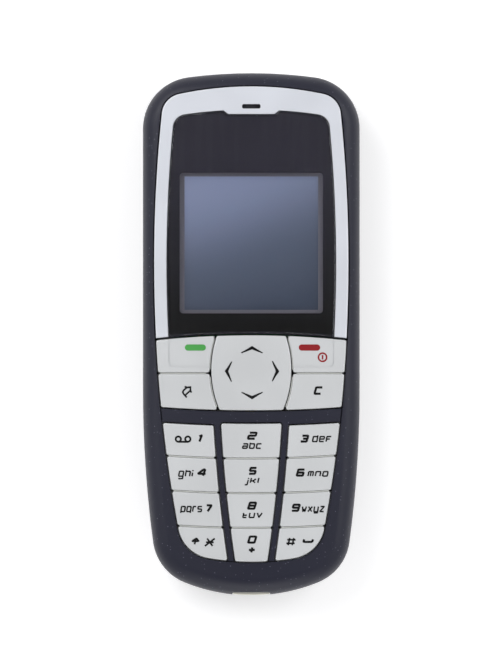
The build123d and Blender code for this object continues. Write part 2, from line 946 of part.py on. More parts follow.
def battery_pack():
    pack = prism(battery_plan(0), floor_bottom - bay_play - battery_thickness, floor_bottom - bay_play)
    return fillet(pack.edges().filter_by(Plane.XY), battery_edge)


def battery_contacts():
    """Sprung blades at the top end of the bay."""
    place = Pos(0, contact_y)
    block = prism(place * Rectangle(contact_width, contact_depth), contact_bottom + bay_play, board_bottom)
    pitch = contact_width / contact_count
    low_y = battery_y + battery_length / 2
    blades = Sketch()
    for index in range(contact_count):
        x = (index - (contact_count - 1) / 2) * pitch
        blades += Pos(x, low_y + (bay_play + bay_wall) / 2) * Rectangle(contact_blade, bay_play + bay_wall)
    return block + prism(blades, contact_bottom + contact_blade, floor_bottom)


def sim_holder():
    """Two steel rails that the card slides on."""
    trough = sim_plan(moving_gap, sim_travel)
    middle = Pos(sim_x, 0) * Rectangle(sim_width - sim_rail * 2, body_length)
    seat = band(sim_y - sim_length / 2, sim_y + sim_length / 2 + moving_gap)
    return prism((trough - middle) & seat, floor_bottom, floor_bottom + sim_rail_thickness)


def sim_card():
    """Plug-in card with one cut corner."""
    plan = Pos(sim_x, sim_y) * Rectangle(sim_width, sim_length)
    corner = plan.vertices().sort_by(lambda vertex: vertex.X + vertex.Y)[-1]
    plan = chamfer(corner, sim_corner)
    return prism(plan, sim_bottom, sim_bottom + sim_thickness)


def battery_cover():
    """Back shell that slides off towards the bottom end."""
    shell = outer_body - body_blank(cover_wall)
    reach = band(-half_length, cover_top_y - cover_gap) & Rectangle(body_width, body_length)
    return shell & prism(reach, 0, cover_split_height - cover_gap)


def cover_release():
    """Button that frees the battery cover, with ribs for the thumb."""
    button = prism(
        rounded(release_width, release_height, release_height / 2 - piece_gap, 0, release_y),
        release_recess, shell_wall + moving_gap,
    )
    flange = rounded(
        release_width + release_flange * 2 + moving_gap * 2,
        release_height + release_flange * 2 + moving_gap * 2, release_height / 2, 0, release_y,
    )
    low = shell_wall + moving_gap
    button += prism(flange, low, low + release_flange_thickness)
    for index in range(release_rib_count):
        y = release_y + (index - (release_rib_count - 1) / 2) * release_rib * 2
        groove = Pos(0, y, release_recess) * Box(release_width / 2, release_rib, release_rib)
        button -= groove
    return button


def housing_screws():
    """The four screws that hold the housings together."""
    screws = []
    for x, y in screw_places:
        screw = prism(disc(x, y, screw_head_radius), floor_bottom - screw_head_height, floor_bottom)
        screw += prism(disc(x, y, screw_radius), floor_bottom, floor_bottom + screw_length)
        socket = Pos(x, y) * RegularPolygon(screw_socket_radius, 6)
        low = floor_bottom - screw_head_height
        screw -= prism(socket, low, low + screw_socket_depth)
        screws.append(screw.solids()[0])
    return Compound(screws)


# Top compartment
def loudspeaker():
    low = shell_wall + speaker_gasket
    can = prism(disc(0, speaker_y, speaker_radius), low, low + speaker_height)
    return can - prism(disc(0, speaker_y, speaker_radius - speaker_rim), low, low + speaker_cone_depth)


def speaker_gasket_ring():
    plan = disc(0, speaker_y, speaker_radius) - disc(0, speaker_y, speaker_radius - speaker_rim)
    return prism(plan, shell_wall, shell_wall + speaker_gasket)


def vibration_motor():
    motor = along_y(motor_x, motor_z, motor_radius, motor_y, motor_y + motor_length)
    shaft_end = motor_y + motor_length + weight_gap + weight_length
    return motor + along_y(motor_x, motor_z, motor_shaft_radius, motor_y, shaft_end)


def motor_boot():
    """Rubber sleeve that hangs the motor under the board."""
    side = (motor_radius + motor_boot_wall) * 2
    boot = Pos(motor_x, motor_y + motor_boot_length / 2 + motor_boot_wall, motor_z) * Box(
        side, motor_boot_length, side
    )
    return boot - along_y(motor_x, motor_z, motor_radius, motor_y - overrun, motor_y + overrun)


def vibration_weight():
    """Half-round weight on the motor's shaft."""
    low = motor_y + motor_length + weight_gap
    weight = along_y(motor_x, motor_z, weight_radius, low, low + weight_length)
    upper = Pos(motor_x, low + weight_length / 2, motor_z + weight_radius / 2 + motor_shaft_radius * 2)
    weight -= upper * Box(weight_radius * 3, weight_length * 2, weight_radius)
    return weight - along_y(
        motor_x, motor_z, motor_shaft_radius + weight_bore_play, low - overrun / 10, low + weight_length * 2
    )


def carrier_plan(inset):
    return rounded(
        carrier_width - inset * 2, carrier_length - inset * 2, carrier_corner, carrier_x, carrier_y
    ) & body_outline(shell_wall + board_margin + inset)


def antenna_carrier():
    """Plastic frame that holds the aerial off the board."""
    carrier = prism(carrier_plan(0), board_bottom - carrier_height, board_bottom)
    pocket = carrier_plan(carrier_pocket_wall)
    return carrier - prism(pocket, board_bottom - carrier_height + carrier_pocket_wall, board_bottom)


def antenna_plate():
    """Slotted aerial sheet under its frame."""
    plan = carrier_plan(aerial_inset)
    for share in aerial_slot_shares:
        x = carrier_x + carrier_width * share
        plan -= Pos(x, carrier_y + aerial_slot_width * 2) * Rectangle(aerial_slot_width, carrier_length)
    high = board_bottom - carrier_height
    return prism(plan, high - aerial_thickness, high)


aerial_slot_shares = [-0.2, 0.15]

pieces = {
    "front_cover": front_cover,
    "display_bezel": display_bezel,
    "display_lens": display_lens,
    "lens_mask": lens_mask,
    "earpiece_mesh": earpiece_mesh,
    "earpiece_receiver": earpiece_receiver,
    "display_gasket": display_gasket,
    "lcd_frame": lcd_frame,
    "lcd_panel": lcd_panel,
    "lcd_light_guide": lcd_light_guide,
    "lcd_flex": lcd_flex,
    "navigation_key": navigation_key,
    "navigation_rocker": navigation_rocker,
    "navigation_plunger": navigation_plunger,
    "keypad_mat": keypad_mat,
    "dome_sheet": dome_sheet,
    "key_domes": key_domes,
    "main_board": main_board,
    "radio_shield_can": lambda: shield_can(
        radio_can_width, radio_can_top - radio_can_bottom, (radio_can_top + radio_can_bottom) / 2
    ),
    "logic_shield_can": lambda: shield_can(logic_can_width, logic_can_length, logic_can_y),
    "backup_cell": backup_cell,
    "connector_surround": connector_surround,
    "interface_connector": interface_connector,
    "charge_socket": charge_socket,
    "microphone": microphone,
    "microphone_boot": microphone_boot,
    "loudspeaker": loudspeaker,
    "speaker_gasket": speaker_gasket_ring,
    "vibration_motor": vibration_motor,
    "motor_boot": motor_boot,
    "vibration_weight": vibration_weight,
    "antenna_carrier": antenna_carrier,
    "antenna_plate": antenna_plate,
    "rear_housing": rear_housing,
    "battery_pack": battery_pack,
    "battery_contacts": battery_contacts,
    "sim_holder": sim_holder,
    "sim_card": sim_card,
    "battery_cover": battery_cover,
    "cover_release": cover_release,
    "housing_screws": housing_screws,
}

os.makedirs("parts", exist_ok=True)
for name, make in pieces.items():
    export_step(make(), f"parts/{name}.step")
for name in number_keys:
    export_step(number_key(name), f"parts/{name}.step")
for name in side_keys:
    export_step(side_key(name), f"parts/{name}.step")
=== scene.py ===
# %% [markdown]
# # A feature phone on its back
# The solid parts of this phone come in as a fixed frame, already at their real size. This lesson gives
# them their finishes, and adds what is printed on them. Everything is in metres, with +Y towards the
# earpiece and +Z out of the display.

# %% Load the frame
import json
import math

import bmesh
import bpy
from mathutils import Matrix, Vector
from mathutils.bvhtree import BVHTree


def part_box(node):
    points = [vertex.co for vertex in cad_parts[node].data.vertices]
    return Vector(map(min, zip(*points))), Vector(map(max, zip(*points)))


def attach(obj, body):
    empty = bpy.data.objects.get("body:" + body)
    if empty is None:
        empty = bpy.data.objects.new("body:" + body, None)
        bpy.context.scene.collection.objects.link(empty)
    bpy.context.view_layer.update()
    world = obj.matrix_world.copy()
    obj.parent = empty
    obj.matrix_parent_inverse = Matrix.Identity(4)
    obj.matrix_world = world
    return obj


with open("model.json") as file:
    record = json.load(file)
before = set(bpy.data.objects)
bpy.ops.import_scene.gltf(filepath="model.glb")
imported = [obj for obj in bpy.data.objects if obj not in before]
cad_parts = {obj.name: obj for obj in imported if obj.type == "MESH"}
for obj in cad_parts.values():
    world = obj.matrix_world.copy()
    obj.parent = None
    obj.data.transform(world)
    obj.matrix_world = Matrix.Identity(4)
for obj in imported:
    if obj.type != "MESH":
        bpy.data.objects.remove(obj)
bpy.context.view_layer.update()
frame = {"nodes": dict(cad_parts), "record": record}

nodes = frame["nodes"]
MM = 0.001

# %% [markdown]
# ## Camera
# The photograph looks straight at the front, from far enough away that nothing tapers. So the camera
# hangs over the phone with a long lens. One pixel of the 502 by 670 picture is a known size on the
# phone, and that sets the lens.

# %% Place the camera
PIXEL = 0.2013 * MM
PICTURE = (502, 670)
BODY_MIDDLE_PX = (251.3, 334.3)
CAMERA_HEIGHT = 1.4
FOCUS_HEIGHT = 0.012


def at_pixel(x, y):
    """Where a pixel of the photograph lies in the plan of the phone."""
    return (x - BODY_MIDDLE_PX[0]) * PIXEL, (BODY_MIDDLE_PX[1] - y) * PIXEL


camera_data = bpy.data.cameras.new("camera")
camera_data.sensor_fit = "VERTICAL"
seen_height = PICTURE[1] * PIXEL
camera_data.lens = camera_data.sensor_height * (CAMERA_HEIGHT - FOCUS_HEIGHT) / seen_height
camera = bpy.data.objects.new("camera", camera_data)
bpy.context.collection.objects.link(camera)
camera.location = (*at_pixel(PICTURE[0] / 2, PICTURE[1] / 2), CAMERA_HEIGHT)
bpy.context.scene.camera = camera
bpy.context.scene.view_settings.view_transform = "Standard"
print("lens:", round(camera_data.lens, 1), "mm")

# %% [markdown]
# ## Light and floor
# A studio for small products is mostly one big soft source, with a second one to draw bright lines on
# rounded edges. Area lamps give that. The floor stays a real surface, so it keeps the shadow, and a
# little light of its own, for rays from the camera only, lifts it to the photograph's white.

# %% Light the studio
LAMPS = {
    "overhead_left": ((-0.35, 0.30, 0.55), 0.45, 2.4),
    "overhead_right": ((0.40, 0.15, 0.50), 0.35, 1.3),
    "low_front": ((0.0, -0.60, 0.30), 0.40, 0.9),
}
for name, (place, size, power) in LAMPS.items():
    lamp = bpy.data.lights.new(name, "AREA")
    lamp.size = size
    lamp.energy = power
    holder = bpy.data.objects.new(name, lamp)
    bpy.context.collection.objects.link(holder)
    holder.location = place
    holder.rotation_euler = (-Vector(place)).to_track_quat("-Z", "Y").to_euler()

print("lamps:", len(LAMPS))

# %% [markdown]
# ## Helpers for materials
# A finish is a small graph of nodes. These helpers keep each one short: `srgb` turns a colour as it is
# read off a screen into the linear values that a renderer needs, and `add` puts a node in and wires it.

# %% Helpers for materials
def srgb(red, green, blue):
    """A colour read off a screen, as the renderer's linear one."""
    values = [v / 255 for v in (red, green, blue)]
    return tuple(v / 12.92 if v <= 0.04045 else ((v + 0.055) / 1.055) ** 2.4 for v in values) + (1.0,)


def new_material(name):
    """An empty material with its Principled shader."""
    material = bpy.data.materials.new(name)
    material.use_nodes = True
    return material, material.node_tree, material.node_tree.nodes["Principled BSDF"]


def add(tree, kind, links=(), **settings):
    """Adds a node, sets its properties and default values, and links its inputs."""
    node = tree.nodes.new(kind)
    for name, value in settings.items():
        if hasattr(node, name):
            setattr(node, name, value)
    for socket, source in dict(links).items():
        if isinstance(source, bpy.types.NodeSocket):
            tree.links.new(source, node.inputs[socket])
        else:
            node.inputs[socket].default_value = source
    return node


def ramp(tree, factor, low, high, dark, light, fade="LINEAR"):
    """Fades between two colours while a value goes from low to high."""
    node = add(tree, "ShaderNodeValToRGB", {"Fac": factor})
    node.color_ramp.interpolation = fade
    node.color_ramp.elements[0].position = low
    node.color_ramp.elements[1].position = high
    node.color_ramp.elements[0].color = dark
    node.color_ramp.elements[1].color = light
    return node.outputs["Color"]


def level(value):
    """A grey, for a value that a ramp puts out."""
    return (value, value, value, 1.0)


def mixed(tree, factor, first, second, blend="MIX"):
    """Blends two colours by a factor."""
    node = add(tree, "ShaderNodeMix", data_type="RGBA", blend_type=blend)
    sockets = {socket.identifier: socket for socket in node.inputs}
    for identifier, source in (("Factor_Float", factor), ("A_Color", first), ("B_Color", second)):
        if isinstance(source, bpy.types.NodeSocket):
            tree.links.new(source, sockets[identifier])
        else:
            sockets[identifier].default_value = source
    return next(socket for socket in node.outputs if socket.identifier == "Result_Color")


print("a mid grey on the screen is", round(srgb(128, 128, 128)[0], 3), "in linear light")

# %% [markdown]
# ## The room round the phone
# Right over the phone hangs the camera, and a photographer keeps that part of the room dark, so that flat
# glossy faces don't turn grey. The sides of the room are bright, and they draw the light lines on the
# rounded edges. The camera itself sees the room as plain white, and so do mirrors and clear plastic low down.

# %% Build the room
ZENITH_LEVEL = 0.16
SIDE_LEVEL = 0.66
DARK_FADE = (0.95, 0.60)
WHITE_FADE = (0.30, 0.05)
world = bpy.data.worlds.new("studio")
bpy.context.scene.world = world
world.use_nodes = True
room = world.node_tree
around = add(room, "ShaderNodeTexCoord").outputs["Generated"]
direction = add(room, "ShaderNodeSeparateXYZ", {"Vector": around})
side = add(room, "ShaderNodeMapRange", {
    "Value": direction.outputs["Z"], "From Min": DARK_FADE[0], "From Max": DARK_FADE[1],
    "To Min": ZENITH_LEVEL, "To Max": SIDE_LEVEL,
}, interpolation_type="SMOOTHSTEP")
rays = add(room, "ShaderNodeLightPath")
sharp = add(room, "ShaderNodeMath", {
    0: rays.outputs["Is Glossy Ray"], 1: rays.outputs["Is Transmission Ray"],
}, operation="ADD", use_clamp=True)
low_sky = add(room, "ShaderNodeMapRange", {
    "Value": direction.outputs["Z"], "From Min": WHITE_FADE[0], "From Max": WHITE_FADE[1],
})
white = add(room, "ShaderNodeMath", {0: sharp.outputs[0], 1: low_sky.outputs["Result"]}, operation="MULTIPLY")
either = add(
    room, "ShaderNodeMath", {0: white.outputs[0], 1: rays.outputs["Is Camera Ray"]}, operation="MAXIMUM"
)
room_level = add(
    room, "ShaderNodeMath", {0: side.outputs["Result"], 1: either.outputs[0]}, operation="MAXIMUM"
)
background = room.nodes["Background"]
background.inputs["Color"].default_value = (1.0, 1.0, 1.0, 1.0)
room.links.new(room_level.outputs[0], background.inputs["Strength"])
print("room:", ZENITH_LEVEL, "overhead,", SIDE_LEVEL, "at the sides")

# %% [markdown]
# ## Shared surface effects
# Moulded plastic is never quite even. Its tool leaves a fine grain, dust and paint leave pale specks,
# and handling leaves soft smudges in the gloss. Several materials need these, each in its own
# strength, so they are built once as a group with named inputs.

# %% Build the moulded-surface group
SPECK_RADIUS = 0.18
SMUDGES_PER_METRE = 90.0


def moulded_surface_group():
    """Specks, smudges and grain from object coordinates."""
    group = bpy.data.node_groups.new("moulded surface", "ShaderNodeTree")
    face = group.interface
    sizes = {"Grain per metre": 9000.0, "Specks per metre": 1900.0, "Speck amount": 0.5, "Smudge": 0.1}
    for name, value in sizes.items():
        face.new_socket(name, in_out="INPUT", socket_type="NodeSocketFloat").default_value = value
    for name in ("Specks", "Roughness shift", "Height"):
        face.new_socket(name, in_out="OUTPUT", socket_type="NodeSocketFloat")
    given = group.nodes.new("NodeGroupInput").outputs
    result = group.nodes.new("NodeGroupOutput").inputs
    place = add(group, "ShaderNodeTexCoord").outputs["Object"]
    grain = add(group, "ShaderNodeTexNoise", {
        "Vector": place, "Scale": given["Grain per metre"], "Detail": 2.0,
    })
    cells = add(group, "ShaderNodeTexVoronoi", {"Vector": place, "Scale": given["Specks per metre"]})
    dots = add(
        group, "ShaderNodeMath", {0: cells.outputs["Distance"], 1: SPECK_RADIUS}, operation="LESS_THAN"
    )
    chance = add(group, "ShaderNodeSeparateColor", {"Color": cells.outputs["Color"]})
    chosen = add(
        group, "ShaderNodeMath", {0: chance.outputs["Red"], 1: given["Speck amount"]}, operation="LESS_THAN"
    )
    both = add(group, "ShaderNodeMath", {0: dots.outputs[0], 1: chosen.outputs[0]}, operation="MULTIPLY")
    cloud = add(group, "ShaderNodeTexNoise", {"Vector": place, "Scale": SMUDGES_PER_METRE, "Detail": 3.0})
    even = add(group, "ShaderNodeMath", {0: cloud.outputs["Fac"], 1: 0.5}, operation="SUBTRACT")
    shift = add(group, "ShaderNodeMath", {0: even.outputs[0], 1: given["Smudge"]}, operation="MULTIPLY")
    group.links.new(both.outputs[0], result["Specks"])
    group.links.new(shift.outputs[0], result["Roughness shift"])
    group.links.new(grain.outputs["Fac"], result["Height"])
    return group


surface_group = moulded_surface_group()
print("outputs:", [item.name for item in surface_group.interface.items_tree if item.in_out == "OUTPUT"])

# %% [markdown]
# ## Moulded plastics
# Most of the phone is moulded: a soft-touch cover, a matt back, satin keys, a glossy bezel. They differ
# in colour, roughness, and how much grain and specks they carry, so one function makes them all.

# %% Make a moulded plastic
DRIFTS_PER_METRE = 60.0
DARKER_SHARE = 0.93
GRAIN_STRENGTH = 0.35
COAT_ROUGHNESS = 0.06
DRIFT_RANGE = (0.35, 0.65)
SPECK_LIFT, SPECK_FLOOR = 2.2, 0.05


def moulded(
    name, colour, roughness, grain=0.004, specks=0.0, smudge=0.1, coat=0.0, speck_colour=None, scale=9000.0,
    gloss=0.5,
):
    """A moulded plastic with grain, specks and smudges."""
    material, tree, shader = new_material(name)
    surface = add(tree, "ShaderNodeGroup", node_tree=surface_group)
    surface.inputs["Grain per metre"].default_value = scale
    surface.inputs["Speck amount"].default_value = specks
    surface.inputs["Smudge"].default_value = smudge
    pale = speck_colour or tuple(min(1.0, v * SPECK_LIFT + SPECK_FLOOR) for v in colour[:3]) + (1.0,)
    place = add(tree, "ShaderNodeTexCoord").outputs["Object"]
    drift = add(tree, "ShaderNodeTexNoise", {"Vector": place, "Scale": DRIFTS_PER_METRE, "Detail": 2.0})
    darker = tuple(v * DARKER_SHARE for v in colour[:3]) + (1.0,)
    base = ramp(tree, drift.outputs["Fac"], *DRIFT_RANGE, darker, colour)
    speckled = mixed(tree, surface.outputs["Specks"], base, pale)
    tree.links.new(speckled, shader.inputs["Base Color"])
    rough = add(
        tree, "ShaderNodeMath", {0: surface.outputs["Roughness shift"], 1: roughness}, operation="ADD"
    )
    tree.links.new(rough.outputs[0], shader.inputs["Roughness"])
    bump = add(tree, "ShaderNodeBump", {
        "Strength": GRAIN_STRENGTH, "Distance": grain * MM, "Height": surface.outputs["Height"],
    })
    tree.links.new(bump.outputs["Normal"], shader.inputs["Normal"])
    shader.inputs["Specular IOR Level"].default_value = gloss
    shader.inputs["Coat Weight"].default_value = coat
    shader.inputs["Coat Roughness"].default_value = COAT_ROUGHNESS
    return material


PLASTICS = {
    "cover_soft_touch": moulded(
        "cover_soft_touch", srgb(31, 32, 47), 0.45, 0.010, 0.20, 0.10,
        speck_colour=srgb(88, 88, 104), gloss=0.36,
    ),
    "housing_plastic": moulded("housing_plastic", srgb(30, 31, 43), 0.50, 0.012, 0.05, 0.12, gloss=0.4),
    "release_plastic": moulded("release_plastic", srgb(50, 50, 58), 0.42, 0.008, 0.0),
    "bezel_gloss": moulded("bezel_gloss", srgb(214, 217, 225), 0.20, 0.001, 0.0, 0.05, coat=0.6),
    "key_plastic": moulded("key_plastic", srgb(203, 205, 207), 0.30, 0.003, 0.0, 0.08, coat=0.6),
    "surround_plastic": moulded("surround_plastic", srgb(242, 240, 228), 0.38, 0.004, 0.0),
    "receiver_plastic": moulded("receiver_plastic", srgb(46, 46, 48), 0.5),
    "gasket_foam": moulded("gasket_foam", srgb(30, 30, 32), 0.9, 0.03, scale=3000.0),
    "display_frame": moulded("display_frame", srgb(140, 138, 148), 0.5),
    "guide_acrylic": moulded("guide_acrylic", srgb(225, 230, 228), 0.15),
    "flex_film": moulded("flex_film", srgb(176, 120, 44), 0.35),
    "rocker_plastic": moulded("rocker_plastic", srgb(210, 210, 206), 0.45),
    "mat_rubber": moulded("mat_rubber", srgb(188, 190, 186), 0.6, 0.006),
    "dome_film": moulded("dome_film", srgb(214, 208, 176), 0.35),
    "board": moulded("board", srgb(22, 84, 44), 0.35, 0.004, 0.3, speck_colour=srgb(190, 160, 90)),
    "connector_plastic": moulded("connector_plastic", srgb(34, 34, 36), 0.45),
    "boot_rubber": moulded("boot_rubber", srgb(38, 38, 40), 0.75, 0.01),
    "speaker_plastic": moulded("speaker_plastic", srgb(40, 40, 42), 0.5),
    "carrier_plastic": moulded("carrier_plastic", srgb(58, 58, 60), 0.55),
    "battery_plastic": moulded("battery_plastic", srgb(96, 98, 104), 0.42),
    "sim_plastic": moulded("sim_plastic", srgb(232, 232, 230), 0.35),
}
print("plastics:", len(PLASTICS))

# %% [markdown]
# ## Metals
# The metal pieces are pressed or turned, and then plated. Fine scratches run along them, so a noise is
# stretched in one direction and drives both the roughness and a slight bump.

# %% Make a plated metal
SCRATCHES_PER_METRE = (400.0, 9000.0, 2000.0)
SCRATCH_STRENGTH = 0.2
SCRATCH_DEPTH = 0.002 * MM
SCRATCH_RANGE = (0.3, 0.7)
SCRATCH_SHADE = 0.8
SMOOTHER, ROUGHER = 0.8, 1.2
# Painted shade: the bore of the charge socket darkens towards this colour between two depths.
BORE_PAINTED_SHADE = srgb(16, 16, 17)
SOCKET_SHADE = (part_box("charge_socket")[0][1] + 0.3 * MM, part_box("charge_socket")[0][1] + 1.6 * MM)


def plated(name, colour, roughness, shade=None):
    """A plated metal with fine lines, and painted shade that darkens a deep bore between two depths."""
    material, tree, shader = new_material(name)
    place = add(tree, "ShaderNodeTexCoord").outputs["Object"]
    stretched = add(tree, "ShaderNodeMapping", {"Vector": place, "Scale": SCRATCHES_PER_METRE})
    lines = add(tree, "ShaderNodeTexNoise", {"Vector": stretched.outputs[0], "Scale": 1.0, "Detail": 2.0})
    dark = tuple(v * SCRATCH_SHADE for v in colour[:3]) + (1.0,)
    base = ramp(tree, lines.outputs["Fac"], *SCRATCH_RANGE, dark, colour)
    # Painted shade: deep in a bore the colour darkens between two depths.
    if shade:
        parts = add(tree, "ShaderNodeSeparateXYZ", {"Vector": place})
        depth = add(tree, "ShaderNodeMapRange", {
            "Value": parts.outputs["Y"], "From Min": shade[0], "From Max": shade[1],
        })
        base = mixed(tree, depth.outputs["Result"], base, BORE_PAINTED_SHADE)
    tree.links.new(base, shader.inputs["Base Color"])
    rough = ramp(
        tree, lines.outputs["Fac"], *SCRATCH_RANGE, level(roughness * SMOOTHER), level(roughness * ROUGHER)
    )
    tree.links.new(rough, shader.inputs["Roughness"])
    bump = add(tree, "ShaderNodeBump", {
        "Strength": SCRATCH_STRENGTH, "Distance": SCRATCH_DEPTH, "Height": lines.outputs["Fac"],
    })
    tree.links.new(bump.outputs["Normal"], shader.inputs["Normal"])
    shader.inputs["Metallic"].default_value = 1.0
    return material


METALS = {
    "mesh_steel": plated("mesh_steel", srgb(70, 70, 74), 0.5),
    "spring_steel": plated("spring_steel", srgb(200, 200, 202), 0.25),
    "can_steel": plated("can_steel", srgb(188, 188, 190), 0.35),
    "cell_steel": plated("cell_steel", srgb(196, 196, 196), 0.3),
    "socket_metal": plated("socket_metal", srgb(176, 176, 178), 0.3, SOCKET_SHADE),
    "microphone_metal": plated("microphone_metal", srgb(60, 60, 62), 0.5),
    "motor_steel": plated("motor_steel", srgb(182, 182, 186), 0.3),
    "weight_metal": plated("weight_metal", srgb(120, 120, 122), 0.45),
    "aerial_brass": plated("aerial_brass", srgb(214, 178, 112), 0.35),
    "contact_brass": plated("contact_brass", srgb(226, 188, 96), 0.25),
    "screw_steel": plated("screw_steel", srgb(74, 74, 78), 0.35),
}
print("metals:", len(METALS))

# %% [markdown]
# ## Lens and display
# The lens is clear plastic. Behind it lies a dark printed film with a window, and behind the window the
# unlit display. The display is a dim blue-grey, with a painted reflection that lightens it towards one corner
# and a painted gleam. The film has a painted reflection that lightens it towards its upper end. The film is
# stuck to the back of the lens without air between them, so the lens bends light at its front only: faces
# that look backwards get an index of one.

# %% Make the lens, its film and the display
def along(tree, vector, socket, low, high):
    """How far a point lies between two values of one coordinate, from 0 to 1."""
    parts = add(tree, "ShaderNodeSeparateXYZ", {"Vector": vector})
    return add(tree, "ShaderNodeMapRange", {
        "Value": parts.outputs[socket], "From Min": low, "From Max": high,
    }).outputs["Result"]


LENS_INDEX = 1.49
LENS_TINT = (0.93, 0.93, 0.96, 1.0)
BACK_FACING = (-0.6, -0.3)
HAZE_PER_METRE = 120.0
HAZE_RANGE = (0.4, 0.7)
HAZE_ROUGHNESS = 0.05
# Painted reflection: the film's colour lightens from near black towards its upper end.
FILM_TOP = 45 * MM
FILM_PAINTED_FADE = (0.04, 0.80)
FILM_DARK, FILM_PAINTED_LIGHT = srgb(3, 3, 5), srgb(62, 60, 72)
# Painted reflection: the display lightens towards one corner, and a painted gleam is added on top.
PANEL_TURN = -0.35
PANEL_SPAN = (2 * MM, 32 * MM)
PANEL_PAINTED_DARK, PANEL_PAINTED_LIGHT = srgb(94, 106, 126), srgb(148, 160, 184)
PAINTED_GLEAM_RANGE = (0.35, 1.0)
PAINTED_GLEAM_DARK, PAINTED_GLEAM_LIGHT = srgb(0, 0, 0), srgb(128, 135, 162)
CELLS_PER_METRE = 4800.0
CELL_RANGE = (0.2, 0.6)
CELL_SHADE = 0.3
CELL_SHARE = 0.12


def lens_clear():
    """Clear plastic that bends light at its front and sides only."""
    material, tree, shader = new_material("lens_clear")
    shader.inputs["Base Color"].default_value = LENS_TINT
    shader.inputs["Transmission Weight"].default_value = 1.0
    shader.inputs["IOR"].default_value = LENS_INDEX
    coordinates = add(tree, "ShaderNodeTexCoord").outputs
    place = coordinates["Object"]
    facing = add(tree, "ShaderNodeSeparateXYZ", {"Vector": coordinates["Normal"]})
    inside = add(tree, "ShaderNodeNewGeometry").outputs["Backfacing"]
    flip = add(tree, "ShaderNodeMath", {0: inside, 1: -2.0, 2: 1.0}, operation="MULTIPLY_ADD")
    outward = add(tree, "ShaderNodeMath", {0: facing.outputs["Z"], 1: flip.outputs[0]}, operation="MULTIPLY")
    index = add(tree, "ShaderNodeMapRange", {
        "Value": outward.outputs[0], "From Min": BACK_FACING[0], "From Max": BACK_FACING[1],
        "To Min": 1.0, "To Max": LENS_INDEX,
    })
    tree.links.new(index.outputs["Result"], shader.inputs["IOR"])
    haze = add(tree, "ShaderNodeTexNoise", {"Vector": place, "Scale": HAZE_PER_METRE, "Detail": 3.0})
    rough = ramp(tree, haze.outputs["Fac"], *HAZE_RANGE, level(0.0), level(HAZE_ROUGHNESS))
    tree.links.new(rough, shader.inputs["Roughness"])
    return material


def mask_film():
    """The printed film behind the lens, with a painted reflection that lightens it towards its upper end."""
    material, tree, shader = new_material("mask_film")
    place = add(tree, "ShaderNodeTexCoord").outputs["Object"]
    height = along(tree, place, "Y", 0.0, FILM_TOP)
    # Painted reflection: the film is lighter towards its upper end.
    tree.links.new(ramp(tree, height, *FILM_PAINTED_FADE, FILM_DARK, FILM_PAINTED_LIGHT), shader.inputs["Base Color"])
    shader.inputs["Roughness"].default_value = 0.35
    shader.inputs["Specular IOR Level"].default_value = 0.2
    return material


def display_glass():
    """The unlit display, with a painted reflection and a painted gleam towards one corner, and the fine grid
    of its cells.
    """
    material, tree, shader = new_material("display_glass")
    place = add(tree, "ShaderNodeTexCoord").outputs["Object"]
    turned = add(tree, "ShaderNodeMapping", {"Vector": place, "Rotation": (0.0, 0.0, PANEL_TURN)})
    height = along(tree, turned.outputs[0], "Y", *PANEL_SPAN)
    # Painted reflection and painted gleam, lighter towards one corner.
    colour = ramp(tree, height, 0.0, 1.0, PANEL_PAINTED_DARK, PANEL_PAINTED_LIGHT)
    bright = ramp(tree, height, *PAINTED_GLEAM_RANGE, PAINTED_GLEAM_DARK, PAINTED_GLEAM_LIGHT, "EASE")
    colour = mixed(tree, 1.0, colour, bright, "ADD")
    grid = add(tree, "ShaderNodeTexVoronoi", {"Vector": place, "Scale": CELLS_PER_METRE, "Randomness": 0.0})
    cells = ramp(tree, grid.outputs["Distance"], *CELL_RANGE, level(1.0), level(CELL_SHADE))
    tree.links.new(mixed(tree, CELL_SHARE, colour, cells, "MULTIPLY"), shader.inputs["Base Color"])
    shader.inputs["Roughness"].default_value = 0.22
    return material


GLASSES = {"lens_clear": lens_clear(), "mask_film": mask_film(), "display_glass": display_glass()}
print("see-through and printed:", list(GLASSES))

# %% [markdown]
# ## Dress the solids
# Each solid says in the record which material slot it takes. The solids arrive as loose triangles, which
# would show every facet on a rounded edge. A small Geometry Nodes tree joins the triangles and shades
# them smooth, except across edges that are truly sharp. Weighted normals then let the large faces decide,
# so that a crowned lens stays calm right up to its rim. Modifiers leave the solid itself alone.

# %% Shade the solids smooth
MERGE_DISTANCE = 0.0005 * MM
SHARP_ANGLE = 0.6
CALM_FACES = {"display_lens": 0.10, "lens_mask": 0.10, "display_bezel": 0.16}


def new_tree(name, sockets):
    """A Geometry Nodes tree with named inputs of given kinds, and those inputs as its nodes see them."""
    tree = bpy.data.node_groups.new(name, "GeometryNodeTree")
    for socket, kind in {"Geometry": "Geometry", **sockets}.items():
        tree.interface.new_socket(socket, in_out="INPUT", socket_type="NodeSocket" + kind)
    tree.interface.new_socket("Geometry", in_out="OUTPUT", socket_type="NodeSocketGeometry")
    return tree, tree.nodes.new("NodeGroupInput").outputs


def put_out(tree, geometry):
    """Links a geometry to the output, which ends the tree."""
    tree.links.new(geometry, tree.nodes.new("NodeGroupOutput").inputs["Geometry"])


